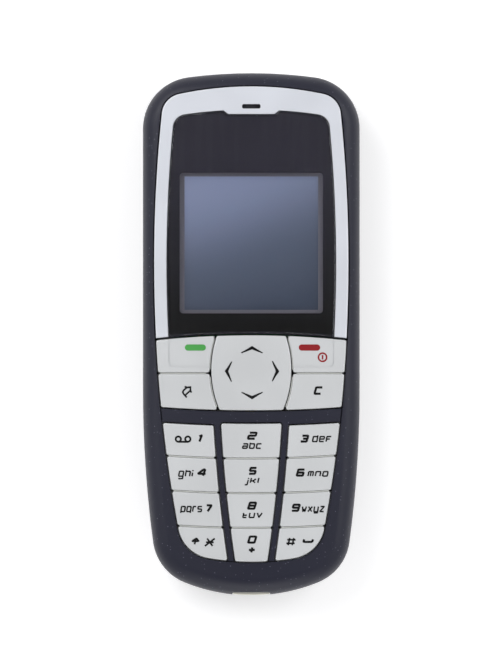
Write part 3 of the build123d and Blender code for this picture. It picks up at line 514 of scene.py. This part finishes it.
def smooth_tree():
    """Joins loose triangles and shades them smooth below an angle."""
    tree, given = new_tree("smooth solid", {"Sharp angle": "Float"})
    merged = add(tree, "GeometryNodeMergeByDistance", {
        "Geometry": given["Geometry"], "Distance": MERGE_DISTANCE,
    })
    angle = add(tree, "GeometryNodeInputMeshEdgeAngle")
    sharp = add(
        tree, "FunctionNodeCompare", {0: angle.outputs["Unsigned Angle"], 1: given["Sharp angle"]},
        data_type="FLOAT", operation="GREATER_THAN",
    )
    faces = add(tree, "GeometryNodeSetShadeSmooth", {
        "Geometry": merged.outputs["Geometry"], "Shade Smooth": True,
    })
    blunt = add(tree, "FunctionNodeBooleanMath", {0: sharp.outputs[0]}, operation="NOT")
    edges = add(tree, "GeometryNodeSetShadeSmooth", {
        "Geometry": faces.outputs["Geometry"], "Shade Smooth": blunt.outputs[0],
    }, domain="EDGE")
    put_out(tree, edges.outputs["Geometry"])
    return tree


FINISHES = {**PLASTICS, **METALS, **GLASSES}
slot_of = {row["node"]: row["material_slot"] for row in frame["record"]["subparts"]}
smoother = smooth_tree()
angle_input = next(item.identifier for item in smoother.interface.items_tree if item.name == "Sharp angle")
for name, solid in nodes.items():
    solid.data.materials.clear()
    solid.data.materials.append(FINISHES[slot_of[name]])
    smooth = solid.modifiers.new("smooth", "NODES")
    smooth.node_group = smoother
    smooth[angle_input] = CALM_FACES.get(name, SHARP_ANGLE)
    weighted = solid.modifiers.new("weighted", "WEIGHTED_NORMAL")
    weighted.keep_sharp = True
print("dressed:", len(nodes))

# %% [markdown]
# ## A technical lettering
# The key legends are drawn in square, slanted strokes with rounded corners, which no stock font has. So
# each sign is a few strokes on a small grid. Two digits are one point: how far right, and how high. The
# line stands on height 2, small letters reach 6 and tall signs reach 8. Spaces part the points, and a
# slash lifts the pen.

# %% Draw the signs
SIGNS = {
    "0": "02 08 48 42 02", "1": "17 28 22", "2": "08 48 45 05 02 42", "3": "08 48 42 02 / 15 45",
    "4": "32 38 28 04 44", "5": "48 08 05 45 42 02", "6": "48 08 02 42 45 05", "7": "08 48 22",
    "8": "02 08 48 42 02 / 05 45", "9": "02 42 48 08 05 45", "+": "05 45 / 27 23",
    "#": "06 46 / 04 44 / 17 13 / 37 33",
    "*": "08 42 / 48 02 / 05 45", "^": "05 28 45 05 / 27 22", "C": "48 08 02 42", "_": "04 02 42 44",
    "a": "06 46 42 02 04 44", "b": "07 02 42 46 06", "c": "46 06 02 42", "d": "47 42 02 06 46",
    "e": "42 02 06 46 44 04", "f": "02 06 46 / 04 34", "g": "46 06 02 42 / 46 40 00", "h": "07 02 / 06 46 42",
    "i": "05 02 / 07 06", "j": "25 20 00 / 27 26", "k": "07 02 / 46 24 04 / 24 42", "l": "07 02",
    "m": "02 06 46 42 / 26 22", "n": "02 06 46 42", "o": "02 06 46 42 02", "p": "01 06 46 42 02",
    "q": "41 46 06 02 42", "r": "02 06 36", "s": "46 06 04 44 42 02", "t": "06 02 32 / 04 34",
    "u": "06 02 42 46", "v": "06 22 46", "w": "06 12 24 32 46", "x": "06 42 / 46 02",
    "y": "06 02 42 / 46 41 01", "z": "06 46 02 42",
}
SLANT = 0.2
LETTER_SPACE = 2.3
CORNER = 0.7
CORNER_STEPS = 4
GRID_TOUCH = 1e-6


def strokes_of(text):
    """The pen strokes of a word on the grid, slanted."""
    strokes, start = [], 0.0
    for sign in text:
        widest = 0
        for stroke in SIGNS[sign].split("/"):
            points = [(int(pair[0]), int(pair[1])) for pair in stroke.split()]
            widest = max(widest, *(x for x, _ in points))
            strokes.append([Vector((start + x + y * SLANT, y)) for x, y in points])
        start += widest + LETTER_SPACE
    return strokes


def round_corners(points, radius):
    """Replaces each corner of a stroke with a short curve."""
    closed = (points[0] - points[-1]).length < GRID_TOUCH
    ring = points[:-1] if closed else points
    result = [] if closed else [ring[0]]
    for index in range(0 if closed else 1, len(ring) if closed else len(ring) - 1):
        here, before, after = ring[index], ring[index - 1], ring[(index + 1) % len(ring)]
        start = here + (before - here).normalized() * min(radius, (before - here).length / 2)
        end = here + (after - here).normalized() * min(radius, (after - here).length / 2)
        for step in range(CORNER_STEPS + 1):
            t = step / CORNER_STEPS
            result.append(start * (1 - t) ** 2 + here * 2 * t * (1 - t) + end * t**2)
    return result + ([result[0]] if closed else [ring[-1]])


print("signs:", len(SIGNS), "strokes of abc:", len(strokes_of("abc")))

# %% [markdown]
# ## Ink on a curved key
# Ink has almost no thickness, but it must follow the key under it, or it would float over the dish and
# sink into the crown. So each stroke becomes a thin closed ribbon, and every point of it is dropped
# straight down onto the key's own surface. A tree of the surface's triangles answers that quickly.

# %% Lay ribbons on a surface
INK_THICKNESS = 0.03 * MM
INK_SINK = 0.05 * MM
RAY_START = 50.0 * MM
KEY_LEVEL = 17.0 * MM
MITRE_LIMIT = 1.6
BLUNTEST = 0.3
PLAN_TOUCH = 1e-9


def surface_of(*names):
    """A search tree over the triangles of some solids."""
    points, triangles = [], []
    for name in names:
        mesh = nodes[name].data
        first = len(points)
        points += [vertex.co.copy() for vertex in mesh.vertices]
        triangles += [[first + i for i in polygon.vertices] for polygon in mesh.polygons]
    return BVHTree.FromPolygons(points, triangles)


def drop(tree, x, y):
    """The height of the surface under a place."""
    hit = tree.ray_cast(Vector((x, y, RAY_START)), Vector((0, 0, -1)))[0]
    return hit.z if hit else KEY_LEVEL


def skin(bm, rows, closed=False):
    """Closes rows of four corners into a solid strip, or into a ring."""
    for low, high in list(zip(rows, rows[1:])) + ([(rows[-1], rows[0])] if closed else []):
        for i in range(4):
            j = (i + 1) % 4
            bm.faces.new((low[i], high[i], high[j], low[j]))
    if not closed:
        bm.faces.new(rows[0])
        bm.faces.new(list(reversed(rows[-1])))


def ribbon(bm, tree, points, pen):
    """A flat closed strip along a stroke. The pen is a width, or gives one for each share of the stroke."""
    closed = (points[0] - points[-1]).length < PLAN_TOUCH
    ring = points[:-1] if closed else points
    rows = []
    for index, here in enumerate(ring):
        width = pen(index / (len(ring) - 1)) if callable(pen) else pen
        before = ring[index - 1] if index or closed else here
        after = ring[(index + 1) % len(ring)] if index + 1 < len(ring) or closed else here
        first = (here - before).normalized() if before is not here else (after - here).normalized()
        second = (after - here).normalized() if after is not here else first
        run = (first + second).normalized()
        side = Vector((-run.y, run.x))
        mitre = min(MITRE_LIMIT, 1 / max(BLUNTEST, side.dot(Vector((-first.y, first.x)))))
        row = []
        for sign, lift in ((1, INK_THICKNESS), (-1, INK_THICKNESS), (-1, -INK_SINK), (1, -INK_SINK)):
            x, y = here + side * (sign * width / 2 * mitre)
            row.append(bm.verts.new((x, y, drop(tree, x, y) + lift)))
        rows.append(row)
    skin(bm, rows, closed)


def finish_piece(name, bm, material, body):
    """Turns the work mesh into a piece that rides on a body."""
    bmesh.ops.recalc_face_normals(bm, faces=bm.faces)
    mesh = bpy.data.meshes.new(name)
    bm.to_mesh(mesh)
    bm.free()
    mesh.materials.append(material)
    piece = bpy.data.objects.new(name, mesh)
    bpy.context.collection.objects.link(piece)
    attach(piece, body)
    return piece


INK = moulded("legend_ink", srgb(9, 9, 11), 0.4, 0.002, 0.0, 0.05, gloss=0.25)
GREEN_INK = moulded("green_ink", srgb(74, 158, 76), 0.35, 0.002, 0.0, 0.05)
RED_INK = moulded("red_ink", srgb(140, 22, 30), 0.35, 0.002, 0.0, 0.05)
print("ink is", INK_THICKNESS / MM, "mm proud")

# %% [markdown]
# ## Number and letter legends
# Each word fills a box that is read off the photograph, in its pixels. The strokes of the word are
# stretched into that box, and the pen keeps its real width.

# %% Print the legends
DIGIT_PEN = 2.2
SIGN_PEN = 1.7
LETTER_PEN = 1.45
LEGENDS = {
    "key_1": [("1", 198.5, 434.0, 203, 442.2, DIGIT_PEN)],
    "key_2": [("2", 247, 431.2, 257.5, 439.3, DIGIT_PEN), ("abc", 242, 441.5, 262.2, 448.5, LETTER_PEN)],
    "key_3": [("3", 299.4, 434.2, 309, 442.2, DIGIT_PEN), ("def", 311.7, 434.2, 331.7, 441.9, LETTER_PEN)],
    "key_4": [("4", 197.6, 468, 206.9, 476.3, DIGIT_PEN), ("ghi", 177.8, 468.8, 194, 478.8, LETTER_PEN)],
    "key_5": [("5", 248, 466.2, 257.6, 474.3, DIGIT_PEN), ("jkl", 244, 476.6, 259.6, 484.8, LETTER_PEN)],
    "key_6": [("6", 295.6, 467.9, 305.4, 476.1, DIGIT_PEN), ("mno", 307, 470.4, 328.4, 476.2, LETTER_PEN)],
    "key_7": [("7", 205.8, 503.5, 212.6, 511.7, DIGIT_PEN), ("pqrs", 180.2, 505.1, 202.9, 512.9, LETTER_PEN)],
    "key_8": [("8", 247.2, 500.8, 257, 509, DIGIT_PEN), ("tuv", 242.3, 511.4, 262.8, 517.4, LETTER_PEN)],
    "key_9": [("9", 290.6, 502.9, 300.5, 511.1, DIGIT_PEN), ("wxyz", 301.7, 505.1, 324.5, 512.9, LETTER_PEN)],
    "key_star": [("^", 191.9, 536.8, 199.6, 544.3, SIGN_PEN), ("*", 204.2, 536.8, 215.8, 546.0, SIGN_PEN)],
    "key_0": [("0", 247.2, 534.6, 257.2, 542.8, DIGIT_PEN), ("+", 247.8, 545.4, 255.8, 552.6, DIGIT_PEN)],
    "key_hash": [("#", 285.4, 536.3, 296.2, 545.1, SIGN_PEN), ("_", 302.3, 537.4, 313.9, 542.2, DIGIT_PEN)],
    "clear_key": [("C", 313.3, 386.1, 323.2, 394.6, DIGIT_PEN)],
}


def fit_strokes(strokes, box):
    """Stretches strokes on the grid into a box of the photograph, as points of the plan."""
    x_low, x_high = min(p.x for s in strokes for p in s), max(p.x for s in strokes for p in s)
    y_low, y_high = min(p.y for s in strokes for p in s), max(p.y for s in strokes for p in s)
    left, top, right, bottom = box
    fitted = []
    for stroke in strokes:
        line = []
        for point in stroke:
            across = (point.x - x_low) / max(x_high - x_low, GRID_TOUCH)
            up = (point.y - y_low) / max(y_high - y_low, GRID_TOUCH)
            line.append(Vector(at_pixel(left + across * (right - left), bottom + up * (top - bottom))))
        fitted.append(line)
    return fitted


for key, words in LEGENDS.items():
    tree = surface_of(key)
    bm = bmesh.new()
    for word, left, top, right, bottom, pen in words:
        inner = (left + pen / 2, top + pen / 2, right - pen / 2, bottom - pen / 2)
        rounded = [round_corners(stroke, CORNER) for stroke in strokes_of(word)]
        for line in fit_strokes(rounded, inner):
            ribbon(bm, tree, line, pen * PIXEL)
    finish_piece("legend_" + key, bm, INK, key)
print("keys with legends:", len(LEGENDS))

# %% [markdown]
# ## Symbols
# Rings, arrows and chevrons are strokes too: a ring is a stroke through points on a circle. The two filled
# pills are wider than any pen, so each is a strip of thin slices, with a round end on both sides.

# %% Print the symbols
RING_STEPS = 28
PILL_SLICES = 22
PILL_TIP = 0.08
PILL_MIDDLE = 347.5
PILL_HEIGHT = 6.2
POWER_PEN = 1.6
VOICEMAIL_PEN = 1.9
SHORTCUT_PEN = 1.7


def pixels(*pairs):
    """Pixels of the photograph, as points of the plan."""
    return [Vector(at_pixel(x, y)) for x, y in pairs]


def ring_px(x, y, radius):
    """Points round a circle, from the right and turning left, closed."""
    angles = [math.radians(360 * i / RING_STEPS) for i in range(RING_STEPS)]
    points = pixels(*[(x + radius * math.cos(a), y - radius * math.sin(a)) for a in angles])
    return points + [points[0]]


def symbol(name, key, strokes, pen, material=INK):
    """A sign of a few strokes on a key."""
    tree = surface_of(key)
    bm = bmesh.new()
    for stroke in strokes:
        ribbon(bm, tree, stroke, pen * PIXEL)
    return finish_piece(name, bm, material, key)


def filled_pill(name, key, left, right, middle, height, material):
    """A pill made of thin slices across it, closed round the rim."""
    tree = surface_of(key)
    bm = bmesh.new()
    radius = height / 2
    rows = []
    for index in range(PILL_SLICES + 1):
        angle = math.pi * index / PILL_SLICES
        x = (left + right) / 2 - math.cos(angle) * (right - left) / 2
        inside = max(0.0, radius - min(x - left, right - x))
        half = max(PILL_TIP, math.sqrt(max(0.0, radius**2 - inside**2)))
        row = []
        for side, lift in ((1, INK_THICKNESS), (-1, INK_THICKNESS), (-1, -INK_SINK), (1, -INK_SINK)):
            px, py = at_pixel(x, middle + side * half)
            row.append(bm.verts.new((px, py, drop(tree, px, py) + lift)))
        rows.append(row)
    skin(bm, rows)
    return finish_piece(name, bm, material, key)


filled_pill("send_mark", "send_key", 185.1, 206.1, PILL_MIDDLE, PILL_HEIGHT, GREEN_INK)
filled_pill("end_mark", "end_key", 298.6, 319.9, PILL_MIDDLE, PILL_HEIGHT, RED_INK)
symbol("power_mark", "end_key", [
    ring_px(322.3, 357.2, 4.1), pixels((322.3, 355.0), (322.3, 359.4)),
], POWER_PEN, RED_INK)
symbol("voicemail_mark", "key_1", [
    ring_px(178.6, 438.7, 2.6), ring_px(188.1, 438.7, 2.6), pixels((178.6, 441.4), (188.1, 441.4)),
], VOICEMAIL_PEN)
symbol("shortcut_mark", "shortcut_key", [
    pixels((187.0, 397.2), (183.9, 393.7), (183.0, 391.8), (183.9, 390.1), (186.9, 387.5), (190.6, 386.9),
           (190.7, 390.2), (185.9, 394.6)),
    pixels((184.8, 386.5), (187.4, 387.2), (190.9, 386.9)),
    pixels((190.7, 386.9), (190.6, 389.8), (191.6, 392.4)),
], SHORTCUT_PEN)
CHEVRONS = {
    "up": ((241.3, 352.8), (252.0, 347.6), (262.6, 352.8)),
    "down": ((241.5, 392.0), (252.0, 397.4), (262.6, 392.0)),
    "left": ((231.8, 361.5), (226.6, 371.0), (231.6, 381.5)),
    "right": ((272.3, 361.0), (277.4, 371.2), (272.2, 381.0)),
}
CHEVRON_STEPS = 5
CHEVRON_BOW = 0.10
CHEVRON_PEN = (1.0, 3.0)


def chevron(start, apex, end):
    """Two arms that bow a little towards the middle of the dish."""
    middle = Vector(((start[0] + end[0]) / 2, (start[1] + end[1]) / 2))
    points = []
    for first, second in ((start, apex), (apex, end)):
        for step in range(CHEVRON_STEPS):
            share = step / CHEVRON_STEPS
            place = Vector(first).lerp(Vector(second), share)
            points.append(place.lerp(middle, CHEVRON_BOW * share * (1 - share)))
    return pixels(*points, end)


def chevron_pen(share):
    """Wide at the apex and fine at both tips."""
    return PIXEL * (CHEVRON_PEN[0] + (CHEVRON_PEN[1] - CHEVRON_PEN[0]) * (1 - abs(2 * share - 1)))


chevron_tree = surface_of("navigation_key")
chevron_mesh = bmesh.new()
for ends in CHEVRONS.values():
    ribbon(chevron_mesh, chevron_tree, chevron(*ends), chevron_pen)
finish_piece("chevrons", chevron_mesh, INK, "navigation_key")
print("chevrons:", len(CHEVRONS))

# %% [markdown]
# ## Webs between the keys
# Neighbouring keys almost touch, and their gaps look grey and not black, because the pale mat under them
# rises between the keys. Each web is a thin wall in a gap. Rays from the inside of both keys find the two
# sides of the gap, so a web follows a straight gap and a curved one alike. The navigation key also tilts,
# so the webs beside it keep to the far side of their gap.

# %% Raise the webs
WEB_SHARE = {0: 0.74, 1: 0.42}
WEB_MIDDLE = {0: 0.5, 1: 0.27}
WEB_THICKEST = 0.22 * MM
WEB_DROP = 0.07 * MM
WEB_LEVEL = 16.2 * MM
WEB_END = {0: 0.12 * MM, 1: 0.60 * MM}
WEB_REACH = 1.0 * MM
WEB_STEPS = 14
mat_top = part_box("keypad_mat")[1][2]


def gap_line(first, second, axis):
    """Places along the gap between two keys, at the height of their tops, with the wall's thickness."""
    boxes, trees = [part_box(first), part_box(second)], [surface_of(first), surface_of(second)]
    low = max(box[0][axis] for box in boxes) + WEB_END[axis]
    high = min(box[1][axis] for box in boxes) - WEB_END[axis]
    starts = [(box[0][1 - axis] + box[1][1 - axis]) / 2 for box in boxes]
    way = 1 if starts[1] > starts[0] else -1
    if axis == 0:
        near, far = boxes[0][(way + 1) // 2][1], boxes[1][(1 - way) // 2][1]
        starts = [near - way * WEB_REACH, far + way * WEB_REACH]
    line = []
    for step in range(WEB_STEPS + 1):
        here = low + (high - low) * step / WEB_STEPS
        sides = []
        for tree, inner, turn in zip(trees, starts, (way, -way)):
            start, run = Vector((0, 0, WEB_LEVEL)), Vector((0, 0, 0))
            start[axis], start[1 - axis], run[1 - axis] = here, inner, turn
            sides.append(tree.ray_cast(start, run)[0])
        if None in sides:
            continue
        place = sides[0].lerp(sides[1], WEB_MIDDLE[axis])
        inside = place.copy()
        inside[1 - axis] -= way * WEB_REACH
        place.z = drop(trees[0], inside.x, inside.y) - WEB_DROP
        line.append((place, min(WEB_THICKEST, (sides[1] - sides[0]).length * WEB_SHARE[axis])))
    return line


def wall(bm, line):
    """A thin wall that stands on the mat along a line."""
    rows = []
    for index, (here, thickness) in enumerate(line):
        run = (line[min(index + 1, len(line) - 1)][0] - line[max(index - 1, 0)][0]).to_2d().normalized()
        side = Vector((-run.y, run.x)) * thickness / 2
        row = [(1, here.z), (-1, here.z), (-1, mat_top), (1, mat_top)]
        rows.append([bm.verts.new((here.x + side.x * s, here.y + side.y * s, z)) for s, z in row])
    skin(bm, rows)


COLUMNS = [["key_1", "key_4", "key_7", "key_star"], ["key_2", "key_5", "key_8", "key_0"],
           ["key_3", "key_6", "key_9", "key_hash"]]
GAPS = [(upper, lower, 0) for column in COLUMNS for upper, lower in zip(column, column[1:])]
GAPS += [("send_key", "shortcut_key", 0), ("end_key", "clear_key", 0)]
GAPS += [(key, "navigation_key", 1) for key in ("send_key", "shortcut_key", "end_key", "clear_key")]
web_mesh = bmesh.new()
for first, second, axis in GAPS:
    wall(web_mesh, gap_line(first, second, axis))
finish_piece("key_webs", web_mesh, PLASTICS["mat_rubber"], "root")
print("webs:", len(GAPS))

# %% [markdown]
# ## Woven screens
# A fine woven screen keeps dust out of the earpiece and the loudspeaker. Weaving repeats, so it is a
# Geometry Nodes tree: one row of wires runs along the screen and one across it, and every wire is the same
# short tube on a row of points. The sizes are inputs, so one tree makes both screens.

# %% Build the screen tree
WIRE_SIDES = 6


def row_of_points(tree, count, pitch, axis):
    """Evenly spaced points along one axis, centred on the origin."""
    spaces = add(tree, "ShaderNodeMath", {0: count, 1: 1.0}, operation="SUBTRACT")
    span = add(tree, "ShaderNodeMath", {0: spaces.outputs[0], 1: pitch}, operation="MULTIPLY")
    first = add(tree, "ShaderNodeMath", {0: span.outputs[0], 1: -0.5}, operation="MULTIPLY")
    start = add(tree, "ShaderNodeCombineXYZ", {axis: first.outputs[0]})
    step = add(tree, "ShaderNodeCombineXYZ", {axis: pitch})
    return add(tree, "GeometryNodeMeshLine", {
        "Count": count, "Start Location": start.outputs[0], "Offset": step.outputs[0],
    }).outputs["Mesh"]


def put_out_real(tree, instances, finish):
    """Makes instances real, gives them their finish and ends the tree."""
    real = add(tree, "GeometryNodeRealizeInstances", {"Geometry": instances})
    coloured = add(tree, "GeometryNodeSetMaterial", {"Geometry": real.outputs[0], "Material": finish})
    put_out(tree, coloured.outputs[0])


def wires(tree, given, length, row, turn):
    """A row of equal tubes, spread evenly across the screen."""
    half = add(tree, "ShaderNodeMath", {0: given[length], 1: 0.5}, operation="MULTIPLY")
    back = add(tree, "ShaderNodeMath", {0: half.outputs[0], 1: -1.0}, operation="MULTIPLY")
    axis = "X" if turn else "Y"
    low = add(tree, "ShaderNodeCombineXYZ", {axis: back.outputs[0]})
    high = add(tree, "ShaderNodeCombineXYZ", {axis: half.outputs[0]})
    path = add(tree, "GeometryNodeCurvePrimitiveLine", {"Start": low.outputs[0], "End": high.outputs[0]})
    round_profile = add(tree, "GeometryNodeCurvePrimitiveCircle", {
        "Resolution": WIRE_SIDES, "Radius": given["Wire radius"],
    })
    tube = add(tree, "GeometryNodeCurveToMesh", {
        "Curve": path.outputs["Curve"], "Profile Curve": round_profile.outputs["Curve"], "Fill Caps": True,
    })
    gaps = add(tree, "ShaderNodeMath", {0: given[row], 1: given["Pitch"]}, operation="DIVIDE")
    count = add(tree, "ShaderNodeMath", {0: gaps.outputs[0]}, operation="FLOOR")
    number = add(tree, "ShaderNodeMath", {0: count.outputs[0], 1: 1.0}, operation="ADD")
    points = row_of_points(tree, number.outputs[0], given["Pitch"], "Y" if turn else "X")
    return add(tree, "GeometryNodeInstanceOnPoints", {
        "Points": points, "Instance": tube.outputs["Mesh"],
    }).outputs["Instances"]


def woven_screen_tree():
    """A screen of crossing wires with named sizes."""
    tree, given = new_tree("woven screen", {
        "Width": "Float", "Height": "Float", "Pitch": "Float", "Wire radius": "Float", "Finish": "Material",
    })
    join = tree.nodes.new("GeometryNodeJoinGeometry")
    for length, row, turn in (("Width", "Height", True), ("Height", "Width", False)):
        tree.links.new(wires(tree, given, length, row, turn), join.inputs[0])
    put_out_real(tree, join.outputs[0], given["Finish"])
    return tree


def grow(tree, name, values):
    """Runs a tree with its inputs set, and gives the plain mesh that it makes."""
    maker = bpy.data.objects.new(name, bpy.data.meshes.new(name))
    bpy.context.collection.objects.link(maker)
    modifier = maker.modifiers.new("maker", "NODES")
    modifier.node_group = tree
    for item in tree.interface.items_tree:
        if item.in_out == "INPUT" and item.name in values:
            modifier[item.identifier] = values[item.name]
    graph = bpy.context.evaluated_depsgraph_get()
    mesh = bpy.data.meshes.new_from_object(maker.evaluated_get(graph), depsgraph=graph)
    bpy.data.objects.remove(maker)
    return mesh


def place_piece(name, mesh, offset, body):
    """Moves a grown mesh to its place and lets it ride."""
    mesh.transform(Matrix.Translation(offset))
    piece = bpy.data.objects.new(name, mesh)
    bpy.context.collection.objects.link(piece)
    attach(piece, body)
    return piece


screen_tree = woven_screen_tree()
print("screen inputs:", [item.name for item in screen_tree.interface.items_tree if item.in_out == "INPUT"])

# %% [markdown]
# ## Place the screens
# The earpiece screen lies on the metal plate in the bottom of the slot. The loudspeaker's lies inside the
# slots of the back, on the driver. Both places come from the solids that carry them, and so does the
# loudspeaker screen's size.

# %% Place the screens
WIRE_RADIUS = 0.045 * MM
EAR_WIDTH, EAR_HEIGHT, EAR_PITCH = 3.5 * MM, 0.72 * MM, 0.24 * MM
SPEAKER_SCREEN_SHARE, SPEAKER_PITCH = 0.66, 0.42 * MM
mesh_low, mesh_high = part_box("earpiece_mesh")
ear_size = {"Width": EAR_WIDTH, "Height": EAR_HEIGHT, "Pitch": EAR_PITCH, "Wire radius": WIRE_RADIUS,
            "Finish": METALS["mesh_steel"]}
ear_middle = Vector(((mesh_low[0] + mesh_high[0]) / 2, (mesh_low[1] + mesh_high[1]) / 2, mesh_high[2]))
place_piece(
    "earpiece_screen", grow(screen_tree, "earpiece_screen", ear_size), ear_middle, "root"
)
gasket_low, gasket_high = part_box("speaker_gasket")
inner = (gasket_high[0] - gasket_low[0]) * SPEAKER_SCREEN_SHARE
speaker_size = {"Width": inner, "Height": inner, "Pitch": SPEAKER_PITCH, "Wire radius": WIRE_RADIUS,
                "Finish": METALS["mesh_steel"]}
speaker_middle = Vector((
    (gasket_low[0] + gasket_high[0]) / 2, (gasket_low[1] + gasket_high[1]) / 2, gasket_high[2] - WIRE_RADIUS,
))
place_piece(
    "speaker_screen", grow(screen_tree, "speaker_screen", speaker_size), speaker_middle, "root"
)
print("earpiece plate top:", round(mesh_high[2] / MM, 2), "mm")

# %% [markdown]
# ## Contacts in the port
# The tongue in the port carries a row of flat contacts. They repeat too: one small block is put on each
# point of a short line, and its size, number and pitch are inputs. Half of each block lies in the tongue.

# %% Lay the contacts on the tongue
def contact_row_tree():
    """Equal blocks along X, centred on the origin."""
    tree, given = new_tree("contact row", {
        "Count": "Int", "Pitch": "Float", "Block": "Vector", "Finish": "Material",
    })
    points = row_of_points(tree, given["Count"], given["Pitch"], "X")
    block = add(tree, "GeometryNodeMeshCube", {"Size": given["Block"]})
    row = add(tree, "GeometryNodeInstanceOnPoints", {"Points": points, "Instance": block.outputs["Mesh"]})
    put_out_real(tree, row.outputs["Instances"], given["Finish"])
    return tree


CONTACT_COUNT = 6
CONTACT_PITCH = 0.6 * MM
CONTACT_WIDTH = 0.32 * MM
CONTACT_LENGTH = 1.1 * MM
CONTACT_THICKNESS = 0.06 * MM
CONTACT_SETBACK = 0.15 * MM
tongue_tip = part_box("interface_connector")[0][1]
tongue_tree = surface_of("interface_connector")
contact_y = tongue_tip + CONTACT_SETBACK + CONTACT_LENGTH / 2
contact_sizes = {
    "Count": CONTACT_COUNT, "Pitch": CONTACT_PITCH,
    "Block": (CONTACT_WIDTH, CONTACT_LENGTH, CONTACT_THICKNESS), "Finish": METALS["contact_brass"],
}
contact_place = Vector((0.0, contact_y, drop(tongue_tree, 0.0, contact_y)))
contact_mesh = grow(contact_row_tree(), "port_contacts", contact_sizes)
place_piece("port_contacts", contact_mesh, contact_place, "root")
print("contacts at", [round(v / MM, 2) for v in contact_place], "mm")

# %% [markdown]
# ## Floor
# The floor is one large pale sheet under the phone. Its own light reaches the camera and mirror-like
# surfaces only, so it lights nothing, and it grows with the distance from the phone, so that the soft shadow
# close by stays. From below, the sheet is clear, so that the back can be looked at too, and it lies a hair
# under the phone, or the two would flicker.

# %% Lay the floor
FLOOR_HALF = 40.0
FLOOR_DROP = 0.02 * MM
NEAR_GLOW, FAR_GLOW = 0.40, 0.72
GLOW_START, GLOW_END = 0.10, 0.60
PAPER, PAPER_ROUGHNESS, PAPER_GLOSS = (0.84, 0.84, 0.85, 1.0), 0.9, 0.1
floor_mesh = bpy.data.meshes.new("floor")
corners = ((-1, -1), (1, -1), (1, 1), (-1, 1))
floor_points = [(x * FLOOR_HALF, y * FLOOR_HALF, -FLOOR_DROP) for x, y in corners]
floor_mesh.from_pydata(floor_points, [], [(0, 1, 2, 3)])
floor = bpy.data.objects.new("floor", floor_mesh)
bpy.context.collection.objects.link(floor)
paper, tree, shader = new_material("floor_paper")
shader.inputs["Base Color"].default_value = PAPER
shader.inputs["Roughness"].default_value = PAPER_ROUGHNESS
shader.inputs["Specular IOR Level"].default_value = PAPER_GLOSS
rays = add(tree, "ShaderNodeLightPath")
seen = add(tree, "ShaderNodeMath", {0: rays.outputs["Is Camera Ray"], 1: rays.outputs["Is Glossy Ray"]},
           operation="ADD")
seen = add(tree, "ShaderNodeMath", {0: seen.outputs[0], 1: rays.outputs["Is Transmission Ray"]},
           operation="ADD", use_clamp=True)
place = add(tree, "ShaderNodeTexCoord").outputs["Object"]
far = add(tree, "ShaderNodeVectorMath", {0: place}, operation="LENGTH")
rise = add(tree, "ShaderNodeMapRange", {
    "Value": far.outputs["Value"], "From Min": GLOW_START, "From Max": GLOW_END,
    "To Min": NEAR_GLOW, "To Max": FAR_GLOW,
})
lit = add(tree, "ShaderNodeMath", {0: seen.outputs[0], 1: rise.outputs["Result"]}, operation="MULTIPLY")
glow = add(tree, "ShaderNodeEmission", {"Strength": lit.outputs[0]})
both = add(tree, "ShaderNodeAddShader", {0: shader.outputs[0], 1: glow.outputs[0]})
clear = add(tree, "ShaderNodeBsdfTransparent")
below = add(tree, "ShaderNodeNewGeometry").outputs["Backfacing"]
one_way = add(tree, "ShaderNodeMixShader", {0: below, 1: both.outputs[0], 2: clear.outputs[0]})
tree.links.new(one_way.outputs[0], tree.nodes["Material Output"].inputs["Surface"])
floor_mesh.materials.append(paper)
print("floor side:", FLOOR_HALF * 2, "m")
